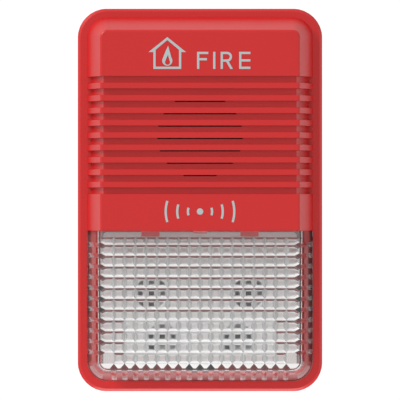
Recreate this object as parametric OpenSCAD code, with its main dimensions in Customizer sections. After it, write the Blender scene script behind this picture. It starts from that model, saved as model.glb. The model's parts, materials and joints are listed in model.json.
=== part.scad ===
// Wall-mounted horn strobe: a wiring base that stays on the wall and a plug-in head with a
// piezo sounder behind the louvres and four flash LEDs behind a prismatic lens.
//
// Row frame: origin on the wall at the centre of the two wall slots, +Z up, +X to the right
// of somebody looking at the front, front facing -Y. Every sub-part is drawn in the face
// frame (x right, y up, z out of the wall) and face_frame() stands it up.

/* [Face] */
// Width across the flange
face_w = 92; // [86:1:116]
// Height across the flange
face_h = 144; // [138:1:176]
// Corner radius of the flange
face_r = 11; // [9:0.5:14]
// From the wall to the front face
depth = 46; // [44:1:58]

/* [Raised body] */
// Flat rim beside the raised body
rim_w = 3.5; // [2.5:0.25:5]
// How far the raised body sits above the flange's centre
body_lift = 0.25; // [0:0.05:0.5]
// Corner radius at the foot of the raised body
body_r = 7.9; // [6.5:0.1:10]
// Height of the sloping shoulder
shoulder_rise = 18; // [16:0.5:21]
// Inset of the front face from the foot of the shoulder
shoulder_run = 5.3; // [4:0.1:6.5]
// Wall of the raised body
cover_wall = 3.2; // [2.8:0.1:3.6]
// Wall of the skirt
skirt_wall = 2.2; // [1.6:0.1:2.6]
// Height at which the red cover ends and the lens begins
split_y = -11.5; // [-16:0.5:-8]

/* [Louvres] */
// Number of grooves
louvre_count = 10; // [6:1:10]
// Upper edge of the first groove
louvre_top = 46.3; // [44:0.1:48]
// Distance from groove to groove
louvre_pitch = 4.62; // [4:0.01:4.8]
// Height of a groove
louvre_gap = 2.5; // [1.5:0.1:3]
// Depth of a groove
louvre_depth = 1.6; // [0.8:0.1:2]
// Height of a sound slit
slit_gap = 0.45; // [0.3:0.05:0.8]
// Radius of the circle that the slits fill
sound_r = 16; // [12:0.5:17]
// Height of the centre of that circle
sound_y = 24.1; // [22:0.1:26]

/* [Lens] */
// Wall of the lens
lens_wall = 2; // [1.6:0.1:2.4]
// Distance from prism to prism
prism_pitch = 4.03; // [3.5:0.01:4.03]
// Number of prism columns
prism_cols = 18; // [12:1:18]
// Number of prism rows
prism_rows = 11; // [8:1:11]
// Flat top of one prism
prism_flat = 1.6; // [1:0.1:2]
// Height of one prism
prism_rise = 1.45; // [0.6:0.05:1.9]
// Gap between the lens and the cover all round
lens_clear = 0.1; // [0.05:0.05:0.3]

/* [Lamps] */
// Half the distance between the two upper LEDs
led_upper_x = 18.2; // [14:0.1:22]
// Height of the two upper LEDs
led_upper_y = -34.8; // [-38:0.1:-30]
// Half the distance between the two lower LEDs
led_lower_x = 14.2; // [10:0.1:18]
// Height of the two lower LEDs
led_lower_y = -52.3; // [-54:0.1:-50]
// Side of an LED package
led_side = 5; // [3.5:0.1:6]

/* [Sounder] */
// Radius of the brass disc
disc_r = 17.5; // [14:0.5:18.5]
// Radius of the ceramic on the disc
ceramic_r = 12.5; // [9:0.5:13]
// Outer radius of the sound chamber
chamber_r = 22; // [21:0.25:23]

/* [Base] */
// Depth of the wiring base
base_depth = 13; // [11:0.5:15]
// Floor and wall of the wiring base
base_wall = 2; // [1.5:0.1:3]
// Distance between the two wall slots
wall_pitch = 60; // [50:0.5:64]
// Distance between the upper and the lower wall slot
wall_pitch_tall = 84; // [80:0.5:92]
// Half the width of a wall slot
slot_r = 2.25; // [1.75:0.05:2.5]
// Length of a wall slot
slot_len = 9; // [7:0.5:10]
// Width of the cable entry
entry_w = 30; // [20:1:34]
// Height of the cable entry
entry_h = 22; // [16:1:24]
// Distance of the inner terminals from the middle
terminal_in = 9; // [8.5:0.5:10]
// Distance of the outer terminals from the middle
terminal_out = 24; // [21:0.5:25]
// Width of a contact strip
strip_w = 7; // [5:0.5:8]

/* [Fits] */
// Gap between base and head along the skirt
plug_clear = 0.6; // [0.5:0.05:1]
// Gap between a blade and each leaf of its fork
blade_clear = 0.1; // [0.05:0.05:0.2]
// Gap round a screw's shank where it is held
thread_clear = 0.05; // [0.02:0.01:0.1]
// Gap round a screw's shank where it passes freely
free_clear = 0.35; // [0.3:0.05:0.6]
// Gap between pieces that are assembled together
seat_clear = 0.2; // [0.1:0.05:0.3]

/* [Hidden] */
$fn = 48;
hull_fn = 32;
skin = 0.01;        // thickness of the end slices that a hull spans
past = 1;           // how far a cutter runs past the face it cuts

// Levels, counted out from the wall
rim_z = depth - shoulder_rise;
rim_edge = 1;                       // rounding of the flange's outer edge
skirt_z = base_depth - 2;           // the skirt laps the base by 2
shell_z = base_depth + 0.5;         // back of the head
shell_wall = 1.8;
shell_floor = shell_z + 2;
ledge_z = rim_z - 6;                // back of the ledge that the seal presses on
shelf_z = rim_z - 4;                // shelf that the lens stands on
seal_h = 1.6;
front_in = depth - cover_wall;      // inner face of the cover
board_z = shell_floor + 4.5;
board_t = 1.6;
board_top = board_z + board_t;
led_board_z = depth - 13;
led_top = led_board_z + board_t;
reflector_z = led_top + 2;
reflector_t = 1.4;
chamber_z = front_in - 13.8;

// Outlines
body_w = face_w - 2 * rim_w;
body_h = face_h - 2 * rim_w;
skirt_in_w = face_w - 2 * skirt_wall;
skirt_in_h = face_h - 2 * skirt_wall;
skirt_in_r = face_r - skirt_wall;
ledge_w = body_w - 9;
ledge_h = body_h - 9;
ledge_r = 3.4;
shell_w = skirt_in_w - 2 * seat_clear * 2;
shell_h = skirt_in_h - 2 * seat_clear * 2;
shell_r = skirt_in_r - 2 * seat_clear;
base_w = skirt_in_w - 2 * plug_clear;
base_h = skirt_in_h - 2 * plug_clear;
base_r = skirt_in_r - plug_clear;
shoulder_slope = shoulder_run / shoulder_rise;
cross_wall = 2.2;

// Lens
lens_foot_w = body_w - 2 * lens_clear;
lens_foot_h = body_h - 2 * lens_clear;
lens_run = 4.7;
lens_z = depth - 0.2;
lens_top = split_y - lens_clear;
prism_groove = prism_pitch - prism_flat;
prism_top = -16.76;                 // upper edge of the first full row of prisms
prism_edge = split_y - 2.4;         // where the part row above it begins
hook_len = 11.3;
hook_y = -37.7;
hook_t = 1.3;
hook_z = ledge_z - 1.4;
hook_gap = 0.4;
tongue_w = 6.8;
tongue_x = 18.5;
tongue_drop = 2.1;
tongue_t = 2;

// Screws: shank radius, head radius, head height
housing_screw = [1.45, 2.7, 1.6];
board_screw = [1.1, 2, 1.2];
terminal_screw = [1.7, 3, 2.2];
corner_x = face_w / 2 - 8.6;
corner_y = face_h / 2 - 8.6;
middle_x = body_w / 2 - 9;
middle_y = split_y + 6;
housing_screws_at = [[corner_x, corner_y], [-corner_x, corner_y], [middle_x, middle_y], [-middle_x, middle_y]];
boss_r = 3.1;
board_w = 58;
board_h = 104;
board_hole_x = board_w / 2 - 4;
board_hole_y = board_h / 2 - 5;
board_screws_at = [for (sx = [-1, 1], sy = [-1, 1]) [sx * board_hole_x, sy * board_hole_y]];
post_x = board_w / 2 + 3;
post_up_y = -19;
post_low_y = -58;
posts_at = [for (sx = [-1, 1], y = [post_up_y, post_low_y]) [sx * post_x, y]];
post_r = 2.7;
led_board_w = ledge_w - 5;
led_board_top = split_y - 1.2;
collar_z = reflector_z - 1;         // front edge of the collar round the reflector
collar_t = 1;
led_board_low = body_lift - ledge_h / 2 + 2;
leds_at = [[-led_upper_x, led_upper_y], [led_upper_x, led_upper_y], [-led_lower_x, led_lower_y], [led_lower_x, led_lower_y]];
cup_r = 6;
cup_low_r = led_side * 0.72;

// Terminals and contacts
terminals_x = [-terminal_out, -terminal_in, terminal_in, terminal_out];
pad_z = base_wall + 3;
strip_t = 0.8;
strip_top = pad_z + strip_t;
screw_y = -20;
fork_y = -32;
strip_y0 = -36;
strip_y1 = -15;
clamp_t = 0.8;
clamp_top = strip_top + clamp_t;
blade_w = 5;
blade_t = 0.8;
blade_z = strip_top + 1;
leaf_t = 0.6;
leaf_z = base_depth - 1;

// Sounder
chamber_wall = 2;
disc_t = 0.3;
ceramic_t = 0.25;
disc_z = chamber_z + 6;
seat_t = 1.5;
ring_h = 2;
mesh_t = 0.4;
mesh_seal_h = 0.5;
mesh_r = chamber_r - 0.5;
chamber_top = front_in - mesh_t - mesh_seal_h;
lug_x = chamber_r + 4;
lug_z = chamber_top - 4;
lug_t = 2;

// Settings switch on the back of the main board
dip_ways = 4;
dip_pitch = 2.54;
dip_x = 14;
dip_y = 12;
dip_w = 6.2;
dip_h = dip_ways * dip_pitch + 1.5;
dip_t = 2.6;
dip_z = board_z - dip_t;
dip_slot_w = 3.6;
dip_slot_h = 1.4;
dip_travel = 1.8;
dip_knob_w = dip_slot_w - dip_travel - 0.2;
dip_knob_h = dip_slot_h - 0.2;
dip_proud = 0.8;
window_margin = 2;

// Colours
cover_red = [0.80, 0.22, 0.22];
dark_red = [0.66, 0.17, 0.17];
clear = [0.86, 0.88, 0.90, 0.45];
white = [0.93, 0.93, 0.92];
brass = [0.80, 0.66, 0.36];
steel = [0.72, 0.73, 0.75];
green = [0.10, 0.38, 0.20];
black = [0.09, 0.09, 0.10];
grey = [0.45, 0.46, 0.47];
silver_ink = [0.74, 0.78, 0.78];

// ---------------------------------------------------------------- shared shapes

// Stands a piece drawn in the face frame up against the wall
module face_frame() {
    rotate([90, 0, 0]) children();
}

// Flat outline with round corners, centred
module rounded_rect(w, h, r) {
    square([w - 2 * r, h], center = true);
    square([w, h - 2 * r], center = true);
    for (sx = [-1, 1], sy = [-1, 1]) {
        translate([sx * (w / 2 - r), sy * (h / 2 - r)]) circle(r);
    }
}

// Plate with round corners between two levels
module slab(w, h, r, z0, z1) {
    translate([0, 0, z0]) linear_extrude(z1 - z0) rounded_rect(w, h, r);
}

// Box between two corners
module box(low, high) {
    translate(low) cube(high - low);
}

// Upright cylinder between two levels
module rod(at, r, z0, z1) {
    translate([at[0], at[1], z0]) cylinder(h = z1 - z0, r = r);
}

// Slot between two levels, along x or along y
module slot(at, len, r, z0, z1, upright = false) {
    translate([at[0], at[1], z0]) rotate([0, 0, upright ? 90 : 0]) {
        for (s = [-1, 1]) translate([s * (len / 2 - r), 0, 0]) cylinder(h = z1 - z0, r = r);
        translate([r - len / 2, -r, 0]) cube([len - 2 * r, 2 * r, z1 - z0]);
    }
}

// Sloping block with a foot outline and a front outline whose corners share their centres
module sloped_block(w, h, r, run, z0, z1) {
    hull() {
        slab(w, h, r, z0, z0 + skin, $fn = hull_fn);
        slab(w - 2 * run, h - 2 * run, max(r - run, 0.4), z1 - skin, z1, $fn = hull_fn);
    }
}

// The raised body, with its sides and front moved in by inset
module body_form(inset) {
    rise = shoulder_rise - inset;
    translate([0, body_lift, 0])
        sloped_block(body_w - 2 * inset, body_h - 2 * inset, body_r - inset, shoulder_slope * rise,
            rim_z, rim_z + rise);
}

// Pan-head screw that points along +z: head below z, shank above it
module pan_screw(at, size, z, len, cross = true) {
    shank_r = size[0];
    head_r = size[1];
    head_h = size[2];
    drive = head_r * 1.3;
    translate([at[0], at[1], z]) difference() {
        union() {
            cylinder(h = len, r = shank_r);
            translate([0, 0, -head_h]) cylinder(h = head_h, r1 = head_r * 0.8, r2 = head_r);
        }
        for (a = cross ? [0, 90] : [0]) {
            rotate([0, 0, a]) translate([-drive / 2, -0.35, -head_h - past])
                cube([drive, 0.7, past + head_h * 0.55]);
        }
    }
}

// The same screw turned over, so that it points along -z
module pan_screw_down(at, size, z, len, cross = true) {
    translate([at[0], at[1], z]) mirror([0, 0, 1]) pan_screw([0, 0], size, 0, len, cross);
}

// Round tube swept along points, for a lead
function unit(v) = v / norm(v);
function tangent(p, i) = unit(p[min(i + 1, len(p) - 1)] - p[max(i - 1, 0)]);
module lead(points, r, sides = 8) {
    n = len(points);
    rings = [for (i = [0 : n - 1])
        let (t = tangent(points, i), u = unit(cross(t, [0.31, 0.95, 0.05])), v = cross(t, u))
        for (k = [0 : sides - 1]) points[i] + r * (cos(360 * k / sides) * u + sin(360 * k / sides) * v)];
    walls = [for (i = [0 : n - 2], k = [0 : sides - 1])
        [i * sides + k, (i + 1) * sides + k, (i + 1) * sides + (k + 1) % sides, i * sides + (k + 1) % sides]];
    ends = [[for (k = [0 : sides - 1]) k], [for (k = [sides - 1 : -1 : 0]) (n - 1) * sides + k]];
    polyhedron(rings, concat(walls, ends), convexity = 4);
}

// Quadratic curve through three control points
function bend(a, b, c, steps) = [for (i = [0 : steps])
    let (t = i / steps) (1 - t) * (1 - t) * a + 2 * t * (1 - t) * b + t * t * c];

// ---------------------------------------------------------------- wiring base

module base_plate() {
    color(cover_red) face_frame() difference() {
        union() {
            difference() {
                slab(base_w, base_h, base_r, 0, base_depth);
                slab(base_w - 2 * base_wall, base_h - 2 * base_wall, base_r - base_wall, base_wall, base_depth + past);
            }
            terminal_pads();
            detent_beads();
        }
        for (s = [-1, 1]) {
            slot([s * wall_pitch / 2, 0], slot_len, slot_r, -past, base_wall + past);
            slot([0, s * wall_pitch_tall / 2], slot_len, slot_r, -past, base_wall + past, true);
        }
        box([-entry_w / 2, -entry_h / 2, -past], [entry_w / 2, entry_h / 2, base_wall + past]);
        for (x = terminals_x) {
            rod([x, screw_y], terminal_screw[0] + free_clear, base_wall - 1, pad_z + past);
        }
    }
}

// Raised seats for the contact strips, with a barrier beside each
module terminal_pads() {
    barrier_t = 1.2;
    barrier_x = [-(terminal_in + terminal_out) / 2, 0, (terminal_in + terminal_out) / 2];
    for (x = terminals_x) {
        box([x - strip_w / 2 - 1, strip_y0 - 1, base_wall / 2], [x + strip_w / 2 + 1, strip_y1 + 1, pad_z]);
    }
    for (x = barrier_x) {
        box([x - barrier_t / 2, screw_y - 5, base_wall / 2], [x + barrier_t / 2, screw_y + 5, leaf_z - 2]);
    }
}

// Low beads on the long sides that the skirt clicks over
module detent_beads() {
    bead_len = 12;
    bead_rise = plug_clear / 2;
    for (sx = [-1, 1], y = [-40, 40]) {
        box([sx * base_w / 2 - bead_rise, y - bead_len / 2, base_depth - 1.6],
            [sx * base_w / 2 + bead_rise, y + bead_len / 2, base_depth - 0.8]);
    }
}

// Brass strip with a clamp hole and a two-leaf fork for the head's blade
module contact_strip(i) {
    x = terminals_x[i];
    gap = blade_t / 2 + blade_clear;
    color(brass) face_frame() {
        difference() {
            box([x - strip_w / 2, strip_y0, pad_z], [x + strip_w / 2, strip_y1, strip_top]);
            rod([x, screw_y], terminal_screw[0] + thread_clear, pad_z - past, strip_top + past);
        }
        for (s = [-1, 1]) {
            box([x - blade_w / 2, fork_y + s * (gap + leaf_t / 2) - leaf_t / 2, strip_top - 0.1],
                [x + blade_w / 2, fork_y + s * (gap + leaf_t / 2) + leaf_t / 2, leaf_z]);
        }
    }
}

// Square washers that press the wires on the strips
module wire_clamps() {
    side = strip_w - 0.4;
    color(steel) face_frame() for (x = terminals_x) {
        difference() {
            box([x - side / 2, screw_y - side / 2, strip_top], [x + side / 2, screw_y + side / 2, clamp_top]);
            rod([x, screw_y], terminal_screw[0] + free_clear, strip_top - past, clamp_top + past);
        }
    }
}

module terminal_screw_at(i) {
    under_head = 0.1;
    reach = clamp_top + under_head - base_wall + 0.5;
    color(steel) face_frame()
        pan_screw_down([terminals_x[i], screw_y], terminal_screw, clamp_top + under_head, reach, false);
}

// ---------------------------------------------------------------- front cover

module front_cover() {
    color(cover_red) face_frame() difference() {
        union() {
            difference() {
                cover_outside();
                cover_inside();
                lens_recess();
            }
            cross_wall_and_tongues();
            lamp_collar();
            cover_bosses();
        }
        louvres();
        sound_slits();
        cover_screw_holes();
        for (s = [-1, 1]) hook_slot_side(s);
        hook_slot_bottom();
    }
}

// Flange with its edge rounded off, and the raised body on it
module cover_outside() {
    slab(face_w, face_h, face_r, skirt_z, rim_z - rim_edge);
    sloped_block(face_w, face_h, face_r, rim_edge, rim_z - rim_edge - skin, rim_z);
    body_form(0);
}

module cover_inside() {
    slab(skirt_in_w, skirt_in_h, skirt_in_r, skirt_z - past, ledge_z);
    translate([0, body_lift, 0]) slab(ledge_w, ledge_h, ledge_r, ledge_z - past, rim_z + skin);
    intersection() {
        body_form(cover_wall);
        box([-face_w, split_y, 0], [face_w, face_h, depth]);
    }
}

// Where the lens stands: everything inside the body's outline, down to the shelf
module lens_recess() {
    intersection() {
        translate([0, body_lift, 0]) slab(body_w, body_h, body_r, shelf_z, depth + past);
        box([-face_w, -face_h, 0], [face_w, split_y, depth + 2 * past]);
    }
}

// Wall between the sounder and the lamps, with the tongues that the lens's upper edge lies on
module cross_wall_and_tongues() {
    tongue_z = lens_z - lens_wall - lens_clear;
    intersection() {
        body_form(louvre_depth);
        box([-face_w, split_y, rim_z], [face_w, split_y + cross_wall, depth]);
    }
    box([-ledge_w / 2, split_y, ledge_z], [ledge_w / 2, split_y + cross_wall, rim_z + past]);
    for (s = [-1, 1]) {
        box([s * tongue_x - tongue_w / 2, split_y - tongue_drop, tongue_z - tongue_t],
            [s * tongue_x + tongue_w / 2, split_y + past, tongue_z]);
    }
    box([-2.6, split_y - tongue_drop / 2, tongue_z - tongue_t], [2.6, split_y + past, tongue_z]);
}

// Collar on the ledge that closes the gap between the reflector and the lens
module lamp_collar() {
    lap = 0.1;
    intersection() {
        translate([0, body_lift, 0]) difference() {
            slab(ledge_w + lap, ledge_h + lap, ledge_r, ledge_z, collar_z);
            slab(ledge_w - 2 * collar_t, ledge_h - 2 * collar_t, ledge_r - collar_t, ledge_z - past, collar_z + past);
        }
        box([-face_w, -face_h, 0], [face_w, split_y + cross_wall / 2, depth]);
    }
}

// Bosses for the housing screws beside the cross wall and in the corners, and for the sound chamber
module cover_bosses() {
    for (s = [-1, 1]) {
        rod([s * middle_x, middle_y], boss_r, ledge_z, front_in - 4);
        rod([s * corner_x, corner_y], boss_r, ledge_z, rim_z + 2);
        rod([s * lug_x, sound_y], 2.6, lug_z + lug_t, front_in + past / 2);
    }
}

module cover_screw_holes() {
    for (at = housing_screws_at) {
        rod(at, housing_screw[0] + thread_clear, ledge_z - past, rim_z - 1.2);
    }
    for (s = [-1, 1]) {
        rod([s * lug_x, sound_y], board_screw[0] + thread_clear, lug_z, front_in + 0.6);
    }
}

function louvre_y(i) = louvre_top - i * louvre_pitch;

// Grooves across the body, cut to an inner form that follows the shoulders
module louvres() {
    difference() {
        for (i = [0 : louvre_count - 1]) {
            box([-face_w, louvre_y(i) - louvre_gap, rim_z + 0.2], [face_w, louvre_y(i), depth + past]);
        }
        body_form(louvre_depth);
    }
}

// Slits at the upper edge of each groove that crosses the sound circle
module sound_slits() {
    for (i = [0 : louvre_count - 1]) {
        rise = louvre_y(i) - sound_y;
        if (abs(rise) < sound_r - past) {
            half = sqrt(sound_r * sound_r - rise * rise);
            box([-half, louvre_y(i) - slit_gap, front_in - past], [half, louvre_y(i), depth]);
        }
    }
}

module hook_slot_side(s) {
    edge = s * body_w / 2;
    box([min(edge, edge - s * 2.5), hook_y - hook_len / 2, ledge_z - past],
        [max(edge, edge - s * 2.5), hook_y + hook_len / 2, shelf_z + past]);
}

module hook_slot_bottom() {
    edge = body_lift - body_h / 2;
    box([-hook_len / 2, edge, ledge_z - past], [hook_len / 2, edge + 2.5, shelf_z + past]);
}

// ---------------------------------------------------------------- printed symbols

ink_t = 0.1;
stroke = 0.85;

module front_print() {
    word_y = 48.9;
    color(silver_ink) face_frame() translate([0, 0, depth]) linear_extrude(ink_t) {
        translate([-12.2, word_y]) house_symbol();
        translate([-1.1, word_y]) fire_word();
        translate([0, -4.3]) sound_symbol();
    }
}

// Plain house outline with a flame standing in it
module house_symbol() {
    eaves = 6.3;
    ridge = 11.9;
    half = 7;
    wall_x = 5.2;
    difference() {
        polygon([[-half, eaves], [0, ridge], [half, eaves], [wall_x, eaves], [wall_x, 0], [-wall_x, 0], [-wall_x, eaves]]);
        polygon([[-wall_x + stroke, stroke], [wall_x - stroke, stroke], [wall_x - stroke, eaves + stroke],
            [0, ridge - 1.3 * stroke], [-wall_x + stroke, eaves + stroke]]);
    }
    translate([0, 3.1]) difference() {
        flame(1);
        translate([0.1, -0.6]) flame(0.5);
    }
}

// Drop with its tip up
module flame(k) {
    scale([k, k]) {
        circle(1.9);
        polygon([[-1.86, 0.4], [1.5, 1.17], [1.2, 2.4], [0.3, 5.6], [-0.7, 3.4]]);
    }
}

// The word FIRE in plain block strokes
module fire_word() {
    height = 6.4;
    arm = 4.2;
    square([stroke, height]);
    for (y = [height - stroke, height / 2]) translate([0, y]) square([arm - (y < 4 ? 0.5 : 0), stroke]);
    translate([6, 0]) square([stroke, height]);
    translate([8.8, 0]) letter_r(height);
    translate([15.7, 0]) {
        square([stroke, height]);
        for (y = [0, (height - stroke) / 2, height - stroke]) translate([0, y]) square([arm, stroke]);
    }
}

module letter_r(height) {
    bowl = 1.85;
    square([stroke, height]);
    translate([2.4, height - bowl]) difference() {
        union() {
            circle(bowl);
            translate([-2, -bowl]) square([2, 2 * bowl]);
        }
        circle(bowl - stroke);
        translate([-2, -bowl + stroke]) square([2, 2 * (bowl - stroke)]);
    }
    polygon([[1.9, height - 2 * bowl + 0.3], [2.9, height - 2 * bowl + 0.3], [4.6, 0], [3.6, 0]]);
}

// A dot with sound waves on both sides
module sound_symbol() {
    circle(1.2);
    for (s = [-1, 1], r = [4.5, 8.5, 12.8]) {
        intersection() {
            difference() {
                circle(r + stroke / 2);
                circle(r - stroke / 2);
            }
            polygon([[0, 0], [s * 20, 6.5], [s * 20, -6.5]]);
        }
    }
}

// ---------------------------------------------------------------- lens

// The lens as a solid block, with its sides and front moved in by inset
module lens_form(inset) {
    rise = lens_z - inset - rim_z;
    run = lens_run * rise / (lens_z - rim_z);
    w = lens_foot_w - 2 * inset;
    h = lens_foot_h - 2 * inset;
    translate([0, body_lift, 0]) {
        sloped_block(w, h, body_r - inset, run, rim_z, lens_z - inset);
        slab(w, h, body_r - inset, shelf_z - (inset > 0 ? past : 0), rim_z + skin);
    }
}

module lens() {
    color(clear) face_frame() {
        difference() {
            intersection() {
                lens_form(0);
                box([-face_w, -face_h, 0], [face_w, lens_top, depth]);
            }
            lens_form(lens_wall);
        }
        lens_prisms();
        for (s = [-1, 1]) lens_hook_side(s);
        lens_hook_bottom();
    }
}

// Square prisms on the inner face: a plate with V grooves cut both ways
module lens_prisms() {
    z1 = lens_z - lens_wall + skin;
    z0 = z1 - prism_rise - skin;
    half_w = prism_cols * prism_pitch / 2;
    low = prism_top - prism_rows * prism_pitch;
    difference() {
        intersection() {
            box([-half_w, low - prism_pitch, z0], [half_w, prism_edge, z1]);
            lens_form(lens_wall / 2);
        }
        for (i = [0 : prism_cols]) {
            translate([i * prism_pitch - half_w, 0, z0]) rotate([90, 0, 0])
                linear_extrude(3 * face_h, center = true) groove_profile();
        }
        for (k = [0 : prism_rows]) {
            translate([0, low + k * prism_pitch, z0]) rotate([90, 0, 90])
                linear_extrude(3 * face_w, center = true) groove_profile();
        }
    }
}

// V groove, open towards the wall; its tip stays just below the lens's inner face
module groove_profile() {
    half = prism_groove / 2;
    polygon([[-half * 1.5, -prism_rise / 2], [half * 1.5, -prism_rise / 2], [0, prism_rise]]);
}

module lens_hook_side(s) {
    outer = s * (lens_foot_w / 2 - lens_wall + hook_t - 0.3);
    inner = outer - s * hook_t;
    barb = inner - s * 0.9;
    y0 = hook_y - hook_len / 2 + hook_gap;
    y1 = hook_y + hook_len / 2 - hook_gap;
    box([min(outer, inner), y0, hook_z], [max(outer, inner), y1, shelf_z + 1]);
    box([min(inner, barb), y0, hook_z], [max(inner, barb), y1, ledge_z - lens_clear]);
}

module lens_hook_bottom() {
    outer = body_lift - lens_foot_h / 2 + lens_wall - hook_t + 0.3;
    half = hook_len / 2 - hook_gap;
    box([-half, outer, hook_z], [half, outer + hook_t, shelf_z + 1]);
    box([-half, outer + hook_t, hook_z], [half, outer + hook_t + 0.9, ledge_z - lens_clear]);
}

// ---------------------------------------------------------------- lamps

led_board_h = led_board_top - led_board_low;
led_board_y = (led_board_top + led_board_low) / 2;

module led_board() {
    color(white) face_frame() difference() {
        translate([0, led_board_y, 0]) slab(led_board_w, led_board_h, 2, led_board_z, led_top);
        for (at = posts_at) rod(at, board_screw[0] + free_clear, led_board_z - past, led_top + past);
        for (x = header_x) rod([x, header_y], header_pin + thread_clear, led_board_z - past, led_top + past, $fn = 16);
    }
}

// Surface-mounted flash LED: ceramic package with a clear dome
module led_at(i) {
    at = leds_at[i];
    package_t = 1;
    color(grey) face_frame() translate([at[0], at[1], led_top]) {
        translate([0, 0, package_t / 2]) cube([led_side, led_side, package_t], center = true);
        translate([0, 0, package_t - 0.1]) intersection() {
            sphere(led_side * 0.42);
            translate([0, 0, led_side / 2]) cube(led_side, center = true);
        }
    }
}

// White tray over the LED board, with a cup round each LED
module reflector() {
    w = led_board_w + 1.4;
    h = led_board_h + 1.4;
    top = reflector_z + reflector_t;
    wall = 1.2;
    corner_r = 1.4;
    color(white) face_frame() difference() {
        union() {
            translate([0, led_board_y, 0]) difference() {
                slab(w, h, corner_r, led_top, top);
                slab(w - 2 * wall, h - 2 * wall, corner_r / 2, led_top - past, reflector_z);
            }
            for (at = leds_at) rod(at, cup_r + 1, led_top, top);
        }
        for (at = leds_at) {
            translate([at[0], at[1], led_top]) cylinder(h = top - led_top + skin, r1 = cup_low_r, r2 = cup_r);
            rod(at, cup_low_r, led_top - past, led_top + skin);
            rod(at, cup_r, top, top + past);
        }
    }
}

module led_board_screws() {
    color(steel) face_frame() for (at = posts_at) {
        pan_screw_down(at, board_screw, led_top, 6);
    }
}

// Pin header that joins the two boards
header_y = -30;
header_pitch = 2.54;
header_x = [for (k = [-1.5, -0.5, 0.5, 1.5]) k * header_pitch];
header_pin = 0.35;

module board_header() {
    color(black) face_frame()
        box([-2 * header_pitch, header_y - 1.25, board_top], [2 * header_pitch, header_y + 1.25, board_top + 2.5]);
    color(brass) face_frame() for (x = header_x) {
        rod([x, header_y], header_pin, board_top + 2.5, led_top + 0.9, $fn = 16);
        rod([x, header_y], header_pin, board_z - 0.9, board_top, $fn = 16);
    }
}

// ---------------------------------------------------------------- main board

module main_board() {
    color(green) face_frame() difference() {
        slab(board_w, board_h, 2, board_z, board_top);
        for (at = board_screws_at) rod(at, board_screw[0] + free_clear, board_z - past, board_top + past);
        for (x = header_x) rod([x, header_y], header_pin + thread_clear, board_z - past, board_top + past, $fn = 16);
        for (x = terminals_x) blade_box(x, board_z - past, board_top + past, seat_clear);
    }
}

module main_board_screws() {
    color(steel) face_frame() for (at = board_screws_at) {
        pan_screw_down(at, board_screw, board_top, 5);
    }
}

// Slide-switch block on the back of the board, with a window for each slider
module dip_switch_body() {
    color([0.75, 0.12, 0.12]) face_frame() difference() {
        box([dip_x - dip_w / 2, dip_y - dip_h / 2, dip_z], [dip_x + dip_w / 2, dip_y + dip_h / 2, board_z]);
        for (i = [0 : dip_ways - 1]) {
            y = dip_way_y(i);
            box([dip_x - dip_slot_w / 2, y - dip_slot_h / 2, dip_z - past],
                [dip_x + dip_slot_w / 2, y + dip_slot_h / 2, board_z - 0.8]);
        }
    }
}

function dip_way_y(i) = dip_y + (i - (dip_ways - 1) / 2) * dip_pitch;

// Slider at its off end, which it leaves towards +x
module dip_slider(i) {
    x0 = dip_x - dip_slot_w / 2 + 0.1;
    y = dip_way_y(i);
    color(white) face_frame()
        box([x0, y - dip_knob_h / 2, dip_z - dip_proud], [x0 + dip_knob_w, y + dip_knob_h / 2, board_z - 0.9]);
}

// Drum-core inductor that raises the flash voltage
inductor_at = [-17, -44];
drum_r = 2.4;
drum_h = 4.8;
drum_flange_r = 5;
drum_flange_t = 1.2;

module inductor_core() {
    low = board_top + drum_flange_t;
    color(grey) face_frame() {
        rod(inductor_at, drum_flange_r, board_top, low);
        rod(inductor_at, drum_r, low, low + drum_h);
        rod(inductor_at, drum_flange_r, low + drum_h, low + drum_h + drum_flange_t);
    }
}

// Its winding, drawn as closed turns in layers
module inductor_winding() {
    turns = 6;
    layers = 2;
    wire_r = 0.36;
    gap = 0.05;
    pitch = 2 * wire_r + gap;
    low = board_top + drum_flange_t + 2 * gap;
    color([0.72, 0.40, 0.20]) face_frame() translate([inductor_at[0], inductor_at[1], low]) {
        for (k = [0 : turns - 1], j = [0 : layers - 1]) {
            translate([0, 0, wire_r + k * pitch]) rotate_extrude() {
                translate([drum_r + wire_r + gap + j * pitch, 0]) circle(wire_r, $fn = 16);
            }
        }
    }
}

capacitor_at = [18, -46];
module electrolytic_capacitor() {
    r = 4;
    h = 8.6;
    color([0.16, 0.19, 0.30]) face_frame() translate([capacitor_at[0], capacitor_at[1], board_top]) {
        rotate_extrude() polygon([[0, 0], [r, 0], [r, 1], [r - 0.3, 1.3], [r, 1.6], [r, h - 0.4], [r - 0.4, h], [0, h]]);
    }
}

// Square flat package with leads on four sides
module microcontroller() {
    side = 7;
    thick = 1.1;
    lift = 0.15;
    leads = 8;
    lead_pitch = 0.8;
    foot = [1, 0.3, 0.25];
    at = [0, 4, board_top];
    color(black) face_frame() translate(at) {
        translate([-side / 2, -side / 2, lift]) cube([side, side, thick]);
    }
    color(steel) face_frame() translate(at) {
        for (a = [0 : 90 : 270], k = [0 : leads - 1]) {
            along = (k - (leads - 1) / 2) * lead_pitch - foot[1] / 2;
            rotate([0, 0, a]) translate([side / 2, along, 0]) cube(foot);
        }
    }
}

// Two power packages with a metal tab
module power_transistors() {
    case = [6.6, 3.6, 1.7];
    tab = [3.2, 1.8, 0.3];
    leg = [0.8, 1.6, 0.3];
    leg_pitch = 2.3;
    for (x = [-17, 17]) {
        at = [x, -22, board_top];
        color(black) face_frame() translate(at) translate([-case[0] / 2, -case[1] / 2, 0]) cube(case);
        color(steel) face_frame() translate(at) {
            translate([-tab[0] / 2, case[1] / 2, 0]) cube(tab);
            for (k = [-1, 0, 1]) {
                translate([k * leg_pitch - leg[0] / 2, -case[1] / 2 - leg[1], 0]) cube(leg);
            }
        }
    }
}

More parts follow.
